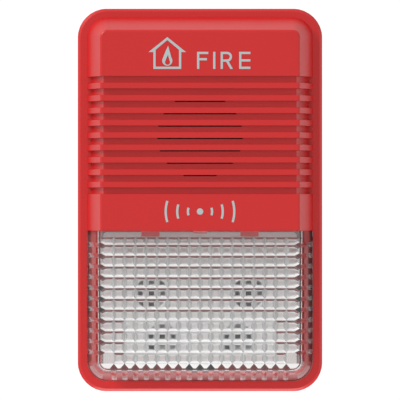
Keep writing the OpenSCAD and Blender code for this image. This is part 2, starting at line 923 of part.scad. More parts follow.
// Rows of chip resistors and capacitors
module small_components() {
    chip = [2, 1.25, 0.6];
    pitch = 2.6;
    rows = [[-20, 20, 5], [8, -8, 4], [-20, -6, 4], [-6, -48, 4]]; // x, y of the first chip, number of chips
    color([0.55, 0.50, 0.42]) face_frame() for (row = rows, k = [0 : row[2] - 1]) {
        translate([row[0], row[1] + k * pitch, board_top]) cube(chip);
    }
}

// ---------------------------------------------------------------- sounder leads

socket_at = [0, sound_y + 20];
socket = [7.5, 5.5, 3];
lead_r = 0.6;
lead_gap = 2.5;

module lead_socket() {
    wall = 0.8;
    color(white) face_frame() translate([socket_at[0] - socket[0] / 2, socket_at[1] - socket[1] / 2, board_top]) {
        difference() {
            cube(socket);
            translate([wall, wall, wall]) cube(socket - [2 * wall, 2 * wall, 0]);
        }
    }
}

module lead_plug() {
    wall = 0.9;
    color([0.85, 0.84, 0.80]) face_frame() difference() {
        translate([socket_at[0] - socket[0] / 2 + wall, socket_at[1] - socket[1] / 2 + wall, board_top + wall])
            cube([socket[0] - 2 * wall, socket[1] - 2 * wall, socket[2] + 0.2]);
        for (s = [-1, 1]) {
            rod([socket_at[0] + s * lead_gap / 2, socket_at[1]], lead_r + thread_clear,
                board_top + socket[2] - past, board_top + 3 * socket[2], $fn = 16);
        }
    }
}

// One lead from the plug, round the back of the chamber, to the disc's rim or centre
module piezo_lead(s, target, tint) {
    x = socket_at[0] + s * lead_gap / 2;
    start = [x, socket_at[1], board_top + socket[2] - 0.9];
    level = chamber_z - 1.4;
    rise = [x, socket_at[1], level];
    under = [target[0], target[1], level];
    corner = 1.3;
    points = concat([start], bend(rise - [0, 0, corner], rise, rise + unit(under - rise) * corner, 4),
        bend(under - unit(under - rise) * corner, under, under + [0, 0, corner], 4), [target]);
    color(tint) face_frame() lead(points, lead_r);
}

lead_hole_r = lead_r + free_clear;
lead_red_at = [(ceramic_r + disc_r) / 2, sound_y];
lead_black_at = [-ceramic_r / 2, sound_y];

module piezo_lead_red() {
    piezo_lead(1, [lead_red_at[0], lead_red_at[1], disc_z], [0.75, 0.10, 0.10]);
}

module piezo_lead_black() {
    piezo_lead(-1, [lead_black_at[0], lead_black_at[1], disc_z - ceramic_t], black);
}

// ---------------------------------------------------------------- sounder

module at_sounder() {
    face_frame() translate([0, sound_y, 0]) children();
}

module dust_mesh() {
    color(black) at_sounder() rod([0, 0], mesh_r, front_in - mesh_t, front_in);
}

module mesh_gasket() {
    color([0.2, 0.2, 0.2]) at_sounder() difference() {
        rod([0, 0], mesh_r, chamber_top, chamber_top + mesh_seal_h);
        rod([0, 0], chamber_r - chamber_wall - 0.5, chamber_top - past, chamber_top + mesh_seal_h + past);
    }
}

// Cup behind the slits; the disc lies on a seat half-way up
module sound_chamber() {
    inner_r = chamber_r - chamber_wall;
    seat_r = disc_r - 1;
    floor_t = 1.6;
    lug_r = 3;
    color(grey) face_frame() difference() {
        union() {
            rod([0, sound_y], chamber_r, chamber_z, chamber_top);
            for (s = [-1, 1]) {
                rod([s * lug_x, sound_y], lug_r, lug_z, lug_z + lug_t);
                box([min(0, s * lug_x), sound_y - lug_r, lug_z], [max(0, s * lug_x), sound_y + lug_r, lug_z + lug_t]);
            }
        }
        rod([0, sound_y], inner_r, disc_z, chamber_top + past);
        rod([0, sound_y], seat_r, disc_z - seat_t, disc_z + past);
        rod([0, sound_y], inner_r, chamber_z + floor_t, disc_z - seat_t);
        rod(lead_red_at, lead_hole_r, chamber_z - past, chamber_z + floor_t + past);
        rod(lead_black_at, lead_hole_r, chamber_z - past, chamber_z + floor_t + past);
        for (s = [-1, 1]) rod([s * lug_x, sound_y], board_screw[0] + free_clear, lug_z - past, lug_z + lug_t + past);
    }
}

module piezo_disc() {
    color(brass) at_sounder() rod([0, 0], disc_r, disc_z, disc_z + disc_t);
}

module piezo_ceramic() {
    color([0.88, 0.87, 0.82]) at_sounder() rod([0, 0], ceramic_r, disc_z - ceramic_t, disc_z);
}

// Ring that holds the disc's rim on its seat
module piezo_ring() {
    color(grey) at_sounder() difference() {
        rod([0, 0], chamber_r - chamber_wall - seat_clear / 2, disc_z + disc_t, disc_z + disc_t + ring_h);
        rod([0, 0], disc_r - 1, disc_z, disc_z + disc_t + ring_h + past);
    }
}

module chamber_screws() {
    color(steel) face_frame() for (s = [-1, 1]) {
        pan_screw([s * lug_x, sound_y], board_screw, lug_z, front_in + 0.4 - lug_z);
    }
}

// ---------------------------------------------------------------- back of the head

// Box that a blade fills, made larger by gap
module blade_box(x, z0, z1, gap) {
    box([x - blade_w / 2 - gap, fork_y - blade_t / 2 - gap, z0], [x + blade_w / 2 + gap, fork_y + blade_t / 2 + gap, z1]);
}

module plug_blade(i) {
    x = terminals_x[i];
    shoulder = 0.8;
    color(brass) face_frame() {
        blade_box(x, blade_z, board_top + 1, 0);
        box([x - blade_w / 2 - shoulder, fork_y - blade_t / 2, shell_floor],
            [x + blade_w / 2 + shoulder, fork_y + blade_t / 2, shell_floor + 1.5]);
    }
}

module rear_shell() {
    window_w = dip_w + 2 * window_margin;
    window_h = dip_h + 2 * window_margin;
    color(dark_red) face_frame() difference() {
        union() {
            difference() {
                slab(shell_w, shell_h, shell_r, shell_z, ledge_z - seal_h);
                slab(shell_w - 2 * shell_wall, shell_h - 2 * shell_wall, shell_r - shell_wall, shell_floor, ledge_z + past);
            }
            for (at = housing_screws_at) rod(at, boss_r, shell_floor - skin, ledge_z);
            for (at = board_screws_at) rod(at, 2.6, shell_floor - skin, board_z);
            for (at = posts_at) rod(at, post_r, shell_floor - skin, led_board_z);
        }
        for (at = housing_screws_at) {
            rod(at, housing_screw[0] + free_clear, shell_z - past, ledge_z + past);
            rod(at, housing_screw[1] + free_clear, shell_z - past, shell_z + housing_screw[2] + 0.2);
        }
        for (at = board_screws_at) rod(at, board_screw[0] + thread_clear, shell_floor + 0.5, board_z + past);
        for (at = posts_at) rod(at, board_screw[0] + thread_clear, led_board_z - 7, led_board_z + past);
        for (x = terminals_x) blade_box(x, shell_z - past, shell_floor + past, thread_clear);
        box([dip_x - window_w / 2, dip_y - window_h / 2, shell_z - past],
            [dip_x + window_w / 2, dip_y + window_h / 2, shell_floor + past]);
    }
}

// Soft ring between the rear shell and the cover's ledge
module housing_seal() {
    color(black) face_frame() difference() {
        slab(shell_w - 0.2, shell_h - 0.2, shell_r - 0.1, ledge_z - seal_h, ledge_z);
        slab(shell_w - 2 * shell_wall + 0.2, shell_h - 2 * shell_wall + 0.2, shell_r - shell_wall + 0.1,
            ledge_z - seal_h - past, ledge_z + past);
    }
}

module housing_screws() {
    head_top = shell_z + housing_screw[2] + 0.2;
    color(steel) face_frame() for (at = housing_screws_at) {
        pan_screw(at, housing_screw, head_top, rim_z - 1.6 - head_top);
    }
}

// Blank label on the back of the head
module rating_label() {
    label_w = 46;
    label_h = 28;
    label_y = 44;
    color(white) face_frame() translate([0, label_y, 0]) slab(label_w, label_h, 2, shell_z - 0.15, shell_z);
}

// ---------------------------------------------------------------- sub-parts

base_plate();
contact_strip(0);  // contact_strip_1
contact_strip(1);  // contact_strip_2
contact_strip(2);  // contact_strip_3
contact_strip(3);  // contact_strip_4
wire_clamps();
terminal_screw_at(0);  // terminal_screw_1
terminal_screw_at(1);  // terminal_screw_2
terminal_screw_at(2);  // terminal_screw_3
terminal_screw_at(3);  // terminal_screw_4
front_cover();
front_print();
lens();
reflector();
led_board();
led_at(0);  // led_1
led_at(1);  // led_2
led_at(2);  // led_3
led_at(3);  // led_4
led_board_screws();
board_header();
main_board();
main_board_screws();
dip_switch_body();
dip_slider(0);  // dip_slider_1
dip_slider(1);  // dip_slider_2
dip_slider(2);  // dip_slider_3
dip_slider(3);  // dip_slider_4
inductor_core();
inductor_winding();
electrolytic_capacitor();
microcontroller();
power_transistors();
small_components();
lead_socket();
lead_plug();
piezo_lead_red();
piezo_lead_black();
dust_mesh();
mesh_gasket();
sound_chamber();
piezo_disc();
piezo_ceramic();
piezo_ring();
chamber_screws();
plug_blade(0);  // plug_blade_1
plug_blade(1);  // plug_blade_2
plug_blade(2);  // plug_blade_3
plug_blade(3);  // plug_blade_4
rear_shell();
housing_seal();
housing_screws();
rating_label();
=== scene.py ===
import json
import logging
import math
from dataclasses import dataclass
from enum import Enum

import bmesh
import bpy
from mathutils import Matrix, Vector


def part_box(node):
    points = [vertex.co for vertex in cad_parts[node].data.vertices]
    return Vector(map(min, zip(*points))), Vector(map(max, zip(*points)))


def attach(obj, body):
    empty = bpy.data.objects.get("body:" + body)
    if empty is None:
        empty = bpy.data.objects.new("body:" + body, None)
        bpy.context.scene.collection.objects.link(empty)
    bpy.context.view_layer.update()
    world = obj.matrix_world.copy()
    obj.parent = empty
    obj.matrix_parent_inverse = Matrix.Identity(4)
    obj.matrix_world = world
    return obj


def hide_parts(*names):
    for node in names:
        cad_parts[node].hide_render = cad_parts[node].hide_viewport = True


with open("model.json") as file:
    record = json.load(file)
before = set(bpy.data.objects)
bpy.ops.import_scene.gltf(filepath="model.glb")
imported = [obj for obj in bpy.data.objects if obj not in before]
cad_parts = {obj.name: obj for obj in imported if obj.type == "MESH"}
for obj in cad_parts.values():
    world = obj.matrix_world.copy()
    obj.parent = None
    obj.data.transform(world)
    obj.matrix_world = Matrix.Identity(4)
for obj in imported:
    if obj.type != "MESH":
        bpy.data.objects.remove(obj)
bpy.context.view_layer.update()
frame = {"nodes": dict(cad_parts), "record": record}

LOG = logging.getLogger("horn_strobe")

# The face frame of the pieces: x right, y up, z out of the wall, in millimetres.
FACE = Matrix(((0.001, 0, 0, 0), (0, 0, -0.001, 0), (0, 0.001, 0, 0), (0, 0, 0, 1)))

# Distance within which a vertex counts as lying on a line, in millimetres.
NEAR = 0.02

# Slack for telling a face or vertex that lies in a plane from one beyond it, in millimetres.
HAIR = 0.01

# Edges sharper than this many degrees stay sharp, except on the lens.
SHARP_ANGLE = 32.0

Colour = tuple[float, float, float]
Socket = bpy.types.NodeSocket
Tree = bpy.types.NodeTree


class Body(Enum):
    """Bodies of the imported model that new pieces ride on."""

    HEAD = "head"


class LensFinish(Enum):
    """Finishes of the lens's faces, in the order of its material slots; all but the clear one are painted
    light, shade or reflection.
    """

    CLEAR = "clear_lens"
    PAINTED_PINK_REFLECTION = "clear_lens_side"
    PAINTED_HIGHLIGHT = "clear_lens_low"
    PAINTED_LIGHT_GREY = "clear_lens_left"
    PAINTED_RED_REFLECTION = "clear_lens_high"
    PAINTED_SHADE_GREY = "clear_lens_right"
    RIB_PAINTED_REFLECTION = "clear_lens_rib"
    STRIP_PAINTED_LIGHT = "clear_lens_strip"
    PAINTED_SHADOW = "clear_lens_dark"

    @property
    def index(self) -> int:
        """Gives the material slot."""
        return list(LensFinish).index(self)


# Painted reflection and shade on the inside of the lens's walls, ring by ring from the foot to the front:
# pink painted reflection, then dark red painted reflection at the front.
WALL_RINGS = (LensFinish.PAINTED_PINK_REFLECTION, LensFinish.PAINTED_PINK_REFLECTION, LensFinish.PAINTED_PINK_REFLECTION, LensFinish.PAINTED_RED_REFLECTION)
# On the ribs: painted light grey, painted shade grey, then pink painted reflection.
RIB_RINGS = (LensFinish.PAINTED_LIGHT_GREY, LensFinish.PAINTED_SHADE_GREY, LensFinish.RIB_PAINTED_REFLECTION, LensFinish.RIB_PAINTED_REFLECTION)


# ---------------------------------------------------------------- nodes


def new_group(name: str, inputs: dict[str, object], outputs: tuple[str, ...]) -> Tree:
    """Starts a shader node group.

    Args:
        name: The group's name.
        inputs: Socket names with their default values; a tuple makes a colour socket.
        outputs: Socket names; one that ends in "Color" is a colour.

    Returns:
        The group, with its input and output nodes in place.
    """
    group = bpy.data.node_groups.new(name, "ShaderNodeTree")
    for label, value in inputs.items():
        kind = "NodeSocketColor" if isinstance(value, tuple) else "NodeSocketFloat"
        group.interface.new_socket(label, in_out="INPUT", socket_type=kind).default_value = value
    for label in outputs:
        kind = "NodeSocketColor" if label.endswith("Color") else "NodeSocketFloat"
        group.interface.new_socket(label, in_out="OUTPUT", socket_type=kind)
    group.nodes.new("NodeGroupInput").name = "In"
    group.nodes.new("NodeGroupOutput").name = "Out"
    return group


def feed(tree: Tree, socket: Socket, value: object) -> None:
    """Gives a socket a link or a plain value.

    Args:
        tree: The tree of both ends.
        socket: The input that is fed.
        value: An output socket, a number or a colour.
    """
    if isinstance(value, bpy.types.NodeSocket):
        tree.links.new(value, socket)
    else:
        socket.default_value = value


def maths(tree: Tree, operation: str, first: object, second: object) -> Socket:
    """Adds a math node.

    Args:
        tree: The tree that it goes into.
        operation: Blender's name of the operation.
        first: A socket or a number.
        second: A socket or a number.

    Returns:
        The result's socket.
    """
    node = tree.nodes.new("ShaderNodeMath")
    node.operation = operation
    feed(tree, node.inputs[0], first)
    feed(tree, node.inputs[1], second)
    return node.outputs["Value"]


def blend(tree: Tree, share: object, first: object, second: object) -> Socket:
    """Mixes two colours.

    Args:
        tree: The tree that it goes into.
        share: How much of the second colour.
        first: A socket or a colour.
        second: A socket or a colour.

    Returns:
        The mixed colour's socket.
    """
    node = tree.nodes.new("ShaderNodeMix")
    node.data_type = "RGBA"
    feed(tree, node.inputs["Factor"], share)
    colours = [socket for socket in node.inputs if socket.type == "RGBA"]
    feed(tree, colours[0], first)
    feed(tree, colours[1], second)
    return next(socket for socket in node.outputs if socket.type == "RGBA")


def texture(tree: Tree, kind: str, place: Socket, **values: object) -> bpy.types.Node:
    """Adds a procedural texture node.

    Args:
        tree: The tree that it goes into.
        kind: Blender's name of the node after "ShaderNodeTex".
        place: The coordinates.
        **values: Input values by socket name, with spaces as underscores.

    Returns:
        The texture node.
    """
    node = tree.nodes.new("ShaderNodeTex" + kind)
    tree.links.new(place, node.inputs["Vector"])
    for label, value in values.items():
        feed(tree, node.inputs[label.replace("_", " ")], value)
    return node


def object_place(tree: Tree, stretch: Colour = (1.0, 1.0, 1.0)) -> Socket:
    """Adds object coordinates.

    Args:
        tree: The tree that they go into.
        stretch: Scale along each axis.

    Returns:
        The coordinates' socket.
    """
    place = tree.nodes.new("ShaderNodeTexCoord").outputs["Object"]
    if stretch == (1.0, 1.0, 1.0):
        return place
    mapping = tree.nodes.new("ShaderNodeMapping")
    mapping.inputs["Scale"].default_value = stretch
    tree.links.new(place, mapping.inputs["Vector"])
    return mapping.outputs["Vector"]


def moulded_surface() -> Tree:
    """Fine spark-eroded grain with a slow drift of colour and gloss.

    Returns:
        The group, whose outputs are a colour, a roughness and a height.
    """
    inputs = {"Tint Color": (0.5, 0.5, 0.5, 1.0), "Drift": 0.1, "Roughness": 0.4, "Gloss Drift": 0.08,
              "Grain": 4200.0}
    group = new_group("moulded_surface", inputs, ("Color", "Roughness", "Height"))
    source, out = group.nodes["In"].outputs, group.nodes["Out"].inputs
    place = object_place(group)
    slow = texture(group, "Noise", place, Scale=38.0, Detail=3.0)
    fine = texture(group, "Noise", place, Scale=source["Grain"], Detail=2.0)
    swing = maths(group, "SUBTRACT", slow.outputs["Fac"], 0.5)
    shade_share = maths(group, "MULTIPLY", swing, source["Drift"])
    darker = blend(group, shade_share, source["Tint Color"], (0.0, 0.0, 0.0, 1.0))
    gloss = maths(group, "MULTIPLY", swing, source["Gloss Drift"])
    group.links.new(darker, out["Color"])
    group.links.new(maths(group, "ADD", source["Roughness"], gloss), out["Roughness"])
    group.links.new(fine.outputs["Fac"], out["Height"])
    return group


def drawn_metal() -> Tree:
    """Fine scratches along one direction, as rolled or turned metal shows.

    Returns:
        The group, whose outputs are a colour, a roughness and a height.
    """
    inputs = {"Tint Color": (0.6, 0.6, 0.6, 1.0), "Roughness": 0.3, "Scratch": 1800.0}
    group = new_group("drawn_metal", inputs, ("Color", "Roughness", "Height"))
    source, out = group.nodes["In"].outputs, group.nodes["Out"].inputs
    stretched = object_place(group, (1.0, 1.0, 0.06))
    along = texture(group, "Noise", stretched, Scale=source["Scratch"], Detail=4.0)
    spots = texture(group, "Noise", object_place(group), Scale=260.0, Detail=2.0)
    swing = maths(group, "SUBTRACT", along.outputs["Fac"], 0.5)
    dull = maths(group, "MULTIPLY", spots.outputs["Fac"], 0.25)
    group.links.new(blend(group, dull, source["Tint Color"], (0.1, 0.09, 0.08, 1.0)), out["Color"])
    rough = maths(group, "ADD", source["Roughness"], maths(group, "MULTIPLY", swing, 0.3))
    group.links.new(rough, out["Roughness"])
    group.links.new(along.outputs["Fac"], out["Height"])
    return group


def open_cells() -> Tree:
    """Small open cells of foam, or the dull skin of rubber at a finer scale.

    Returns:
        The group, whose outputs are a colour and a height.
    """
    inputs = {"Tint Color": (0.02, 0.02, 0.02, 1.0), "Cell Scale": 1500.0, "Depth": 0.6}
    group = new_group("open_cells", inputs, ("Color", "Height"))
    source, out = group.nodes["In"].outputs, group.nodes["Out"].inputs
    cells = texture(group, "Voronoi", object_place(group), Scale=source["Cell Scale"])
    hollow = maths(group, "MULTIPLY", cells.outputs["Distance"], source["Depth"])
    group.links.new(blend(group, hollow, source["Tint Color"], (0.0, 0.0, 0.0, 1.0)), out["Color"])
    group.links.new(cells.outputs["Distance"], out["Height"])
    return group


# ---------------------------------------------------------------- finishes


@dataclass(frozen=True)
class Finish:
    """What every opaque finish has.

    Attributes:
        name: The material's name, which is its slot's.
        colour: Base colour, linear.
        roughness: Mean roughness.
    """

    name: str
    colour: Colour
    roughness: float = 0.4

    def tint(self) -> tuple[float, float, float, float]:
        """Gives the colour with its alpha."""
        return (*self.colour, 1.0)

    def start(self) -> tuple[bpy.types.Material, Tree, bpy.types.Node]:
        """Makes the material.

        Returns:
            The material, its tree and its shader.
        """
        material = bpy.data.materials.new(self.name)
        material.use_nodes = True
        return material, material.node_tree, material.node_tree.nodes["Principled BSDF"]

    def surface(self, tree: Tree, effect: Tree, **values: object) -> bpy.types.Node:
        """Places a shared effect.

        Args:
            tree: The material's tree.
            effect: The node group.
            **values: Input values by socket name, with spaces as underscores.

        Returns:
            The group's node.
        """
        node = tree.nodes.new("ShaderNodeGroup")
        node.node_tree = effect
        for label, value in values.items():
            node.inputs[label.replace("_", " ")].default_value = value
        return node

    def bump(self, tree: Tree, shader: bpy.types.Node, height: Socket, depth: float) -> None:
        """Turns a height into the shader's normal.

        Args:
            tree: The material's tree.
            shader: The shader.
            height: The height's socket.
            depth: Depth of the relief in metres.
        """
        node = tree.nodes.new("ShaderNodeBump")
        node.inputs["Distance"].default_value = depth
        tree.links.new(height, node.inputs["Height"])
        tree.links.new(node.outputs["Normal"], shader.inputs["Normal"])


@dataclass(frozen=True)
class MouldedPlastic(Finish):
    """Satin injection-moulded plastic.

    Attributes:
        grain: Depth of the mould's grain in metres.
        grain_scale: Grain features per metre.
        drift: How far the colour drifts.
        sheen: Weight of the clear coat that stands for the gloss of the skin.
    """

    grain: float = 0.000012
    grain_scale: float = 4200.0
    drift: float = 0.12
    sheen: float = 0.0

    def build(self, effects: dict[str, Tree]) -> bpy.types.Material:
        """Makes the material.

        Args:
            effects: The shared node groups by name.

        Returns:
            The material.
        """
        material, tree, shader = self.start()
        skin = self.surface(tree, effects["moulded_surface"], Tint_Color=self.tint(),
                            Roughness=self.roughness, Grain=self.grain_scale, Drift=self.drift)
        tree.links.new(skin.outputs["Color"], shader.inputs["Base Color"])
        tree.links.new(skin.outputs["Roughness"], shader.inputs["Roughness"])
        self.bump(tree, shader, skin.outputs["Height"], self.grain)
        shader.inputs["Coat Weight"].default_value = self.sheen
        shader.inputs["Coat Roughness"].default_value = 0.12
        return material


@dataclass(frozen=True)
class BareMetal(Finish):
    """Rolled, turned or plated metal.

    Attributes:
        scratch: Scratches per metre across their direction.
    """

    scratch: float = 1800.0

    def build(self, effects: dict[str, Tree]) -> bpy.types.Material:
        """Makes the material.

        Args:
            effects: The shared node groups by name.

        Returns:
            The material.
        """
        material, tree, shader = self.start()
        skin = self.surface(tree, effects["drawn_metal"], Tint_Color=self.tint(), Roughness=self.roughness,
                            Scratch=self.scratch)
        tree.links.new(skin.outputs["Color"], shader.inputs["Base Color"])
        tree.links.new(skin.outputs["Roughness"], shader.inputs["Roughness"])
        self.bump(tree, shader, skin.outputs["Height"], 0.000004)
        shader.inputs["Metallic"].default_value = 1.0
        return material


@dataclass(frozen=True)
class PrintedInk(Finish):
    """Pad-printed silver ink with small flakes, lightened partly for the flakes' own silver and partly as
    painted glint.

    Attributes:
        flake: Flakes per metre.
    """

    flake: float = 5200.0

    def build(self, effects: dict[str, Tree]) -> bpy.types.Material:
        """Makes the material.

        Args:
            effects: The shared node groups by name.

        Returns:
            The material.
        """
        material, tree, shader = self.start()
        skin = self.surface(tree, effects["moulded_surface"], Tint_Color=self.tint(),
                            Roughness=self.roughness, Grain=self.flake)
        flakes = texture(tree, "Voronoi", object_place(tree), Scale=self.flake)
        # The flakes are made lighter, partly for their own silver and partly as painted glint.
        light = maths(tree, "MULTIPLY", flakes.outputs["Distance"], 0.18)
        bright = blend(tree, light, skin.outputs["Color"], (0.9, 0.95, 0.95, 1.0))
        tree.links.new(bright, shader.inputs["Base Color"])
        tree.links.new(skin.outputs["Roughness"], shader.inputs["Roughness"])
        self.bump(tree, shader, skin.outputs["Height"], 0.000006)
        shader.inputs["Metallic"].default_value = 0.25
        return material


@dataclass(frozen=True)
class CircuitBoard(Finish):
    """Solder mask over copper tracks.

    Attributes:
        track: Colour of the mask where copper lies under it.
        pitch: Rows of tracks per metre.
    """

    track: Colour = (0.02, 0.2, 0.07)
    pitch: float = 160.0

    def build(self, effects: dict[str, Tree]) -> bpy.types.Material:
        """Makes the material.

        Args:
            effects: The shared node groups by name.

        Returns:
            The material.
        """
        material, tree, shader = self.start()
        skin = self.surface(tree, effects["moulded_surface"], Tint_Color=self.tint(),
                            Roughness=self.roughness, Grain=6500.0, Drift=0.2)
        turn = tree.nodes.new("ShaderNodeMapping")
        turn.inputs["Rotation"].default_value = (math.radians(90), 0.0, 0.0)
        tree.links.new(object_place(tree), turn.inputs["Vector"])
        tracks = texture(tree, "Brick", turn.outputs["Vector"], Scale=self.pitch, Mortar_Size=0.045,
                         Mortar_Smooth=0.1)
        tracks.offset = 0.37
        tracks.squash = 1.6
        shown = blend(tree, tracks.outputs["Fac"], skin.outputs["Color"], (*self.track, 1.0))
        tree.links.new(shown, shader.inputs["Base Color"])
        tree.links.new(skin.outputs["Roughness"], shader.inputs["Roughness"])
        self.bump(tree, shader, tracks.outputs["Fac"], 0.00003)
        return material


@dataclass(frozen=True)
class SoftRubber(Finish):
    """Rubber or foam with small cells.

    Attributes:
        cells: Cells per metre.
        relief: Depth of a cell in metres.
    """

    cells: float = 1500.0
    relief: float = 0.00008

    def build(self, effects: dict[str, Tree]) -> bpy.types.Material:
        """Makes the material.

        Args:
            effects: The shared node groups by name.

        Returns:
            The material.
        """
        material, tree, shader = self.start()
        skin = self.surface(tree, effects["open_cells"], Tint_Color=self.tint(), Cell_Scale=self.cells)
        tree.links.new(skin.outputs["Color"], shader.inputs["Base Color"])
        shader.inputs["Roughness"].default_value = self.roughness
        self.bump(tree, shader, skin.outputs["Height"], self.relief)
        return material


@dataclass(frozen=True)
class WovenMesh(Finish):
    """Dust mesh of fine woven thread.

    Attributes:
        threads: Threads per metre.
    """

    threads: float = 1600.0

    def build(self, effects: dict[str, Tree]) -> bpy.types.Material:
        """Makes the material.

        Args:
            effects: The shared node groups by name.

        Returns:
            The material.
        """
        material, tree, shader = self.start()
        skin = self.surface(tree, effects["open_cells"], Tint_Color=self.tint(),
                            Cell_Scale=self.threads * 2.0)
        across = texture(tree, "Wave", object_place(tree), Scale=self.threads / 20.0)
        up = texture(tree, "Wave", object_place(tree), Scale=self.threads / 20.0)
        up.bands_direction = "Z"
        thread = maths(tree, "MAXIMUM", across.outputs["Fac"], up.outputs["Fac"])
        # The threads are painted lighter than the gaps between them: painted light on the threads.
        lit = maths(tree, "MULTIPLY", thread, 0.35)
        shown = blend(tree, lit, skin.outputs["Color"], (0.12, 0.12, 0.12, 1.0))
        tree.links.new(shown, shader.inputs["Base Color"])
        shader.inputs["Roughness"].default_value = self.roughness
        self.bump(tree, shader, thread, 0.0001)
        return material


@dataclass(frozen=True)
class RuledLabel(Finish):
    """Paper label with blank ruled fields.

    Attributes:
        rows: Ruled rows per metre.
    """

    rows: float = 60.0

    def build(self, effects: dict[str, Tree]) -> bpy.types.Material:
        """Makes the material.

        Args:
            effects: The shared node groups by name.

        Returns:
            The material.
        """
        material, tree, shader = self.start()
        skin = self.surface(tree, effects["moulded_surface"], Tint_Color=self.tint(),
                            Roughness=self.roughness, Grain=2600.0, Drift=0.05)
        turn = tree.nodes.new("ShaderNodeMapping")
        turn.inputs["Rotation"].default_value = (math.radians(90), 0.0, 0.0)
        tree.links.new(object_place(tree), turn.inputs["Vector"])
        ruled = texture(tree, "Brick", turn.outputs["Vector"], Scale=self.rows, Mortar_Size=0.012,
                        Mortar_Smooth=0.0)
        ruled.offset = 0.0
        lines = maths(tree, "MULTIPLY", ruled.outputs["Fac"], 0.7)
        shown = blend(tree, lines, skin.outputs["Color"], (0.12, 0.12, 0.13, 1.0))
        tree.links.new(shown, shader.inputs["Base Color"])
        tree.links.new(skin.outputs["Roughness"], shader.inputs["Roughness"])
        self.bump(tree, shader, skin.outputs["Height"], 0.00001)
        return material


@dataclass(frozen=True)
class ClearPlastic:
    """Clear moulded plastic that lets the lamps' light through.

    Attributes:
        name: The material's name.
        colour: Tint of the plastic; on the lens's tinted copies it is painted light, shade or reflection.
        roughness: Roughness of the polished surface.
        ior: Index of refraction.
        shade: How much of the light gets through to what lies behind.
        clarity: Share of the surface that is clear; the rest is frosted in the colour, which on the lens's
            tinted copies is painted light, shade or reflection.
    """

    name: str
    colour: Colour
    roughness: float
    ior: float
    shade: float
    clarity: float = 1.0

    def build(self, effects: dict[str, Tree]) -> bpy.types.Material:
        """Makes the material.

        Args:
            effects: The shared node groups by name.

        Returns:
            The material.
        """
        material = bpy.data.materials.new(self.name)
        material.use_nodes = True
        tree = material.node_tree
        shader = tree.nodes["Principled BSDF"]
        skin = tree.nodes.new("ShaderNodeGroup")
        skin.node_tree = effects["moulded_surface"]
        skin.inputs["Tint Color"].default_value = (*self.colour, 1.0)
        skin.inputs["Drift"].default_value = 0.04
        skin.inputs["Roughness"].default_value = self.roughness
        skin.inputs["Gloss Drift"].default_value = 0.0
        tree.links.new(skin.outputs["Color"], shader.inputs["Base Color"])
        shader.inputs["Roughness"].default_value = self.roughness
        shader.inputs["IOR"].default_value = self.ior
        shader.inputs["Transmission Weight"].default_value = self.clarity
        path = tree.nodes.new("ShaderNodeLightPath")
        through = tree.nodes.new("ShaderNodeBsdfTransparent")
        through.inputs["Color"].default_value = (self.shade, self.shade, self.shade, 1.0)
        mix = tree.nodes.new("ShaderNodeMixShader")
        tree.links.new(path.outputs["Is Shadow Ray"], mix.inputs[0])
        tree.links.new(shader.outputs["BSDF"], mix.inputs[1])
        tree.links.new(through.outputs["BSDF"], mix.inputs[2])
        tree.links.new(mix.outputs["Shader"], tree.nodes["Material Output"].inputs["Surface"])
        return material


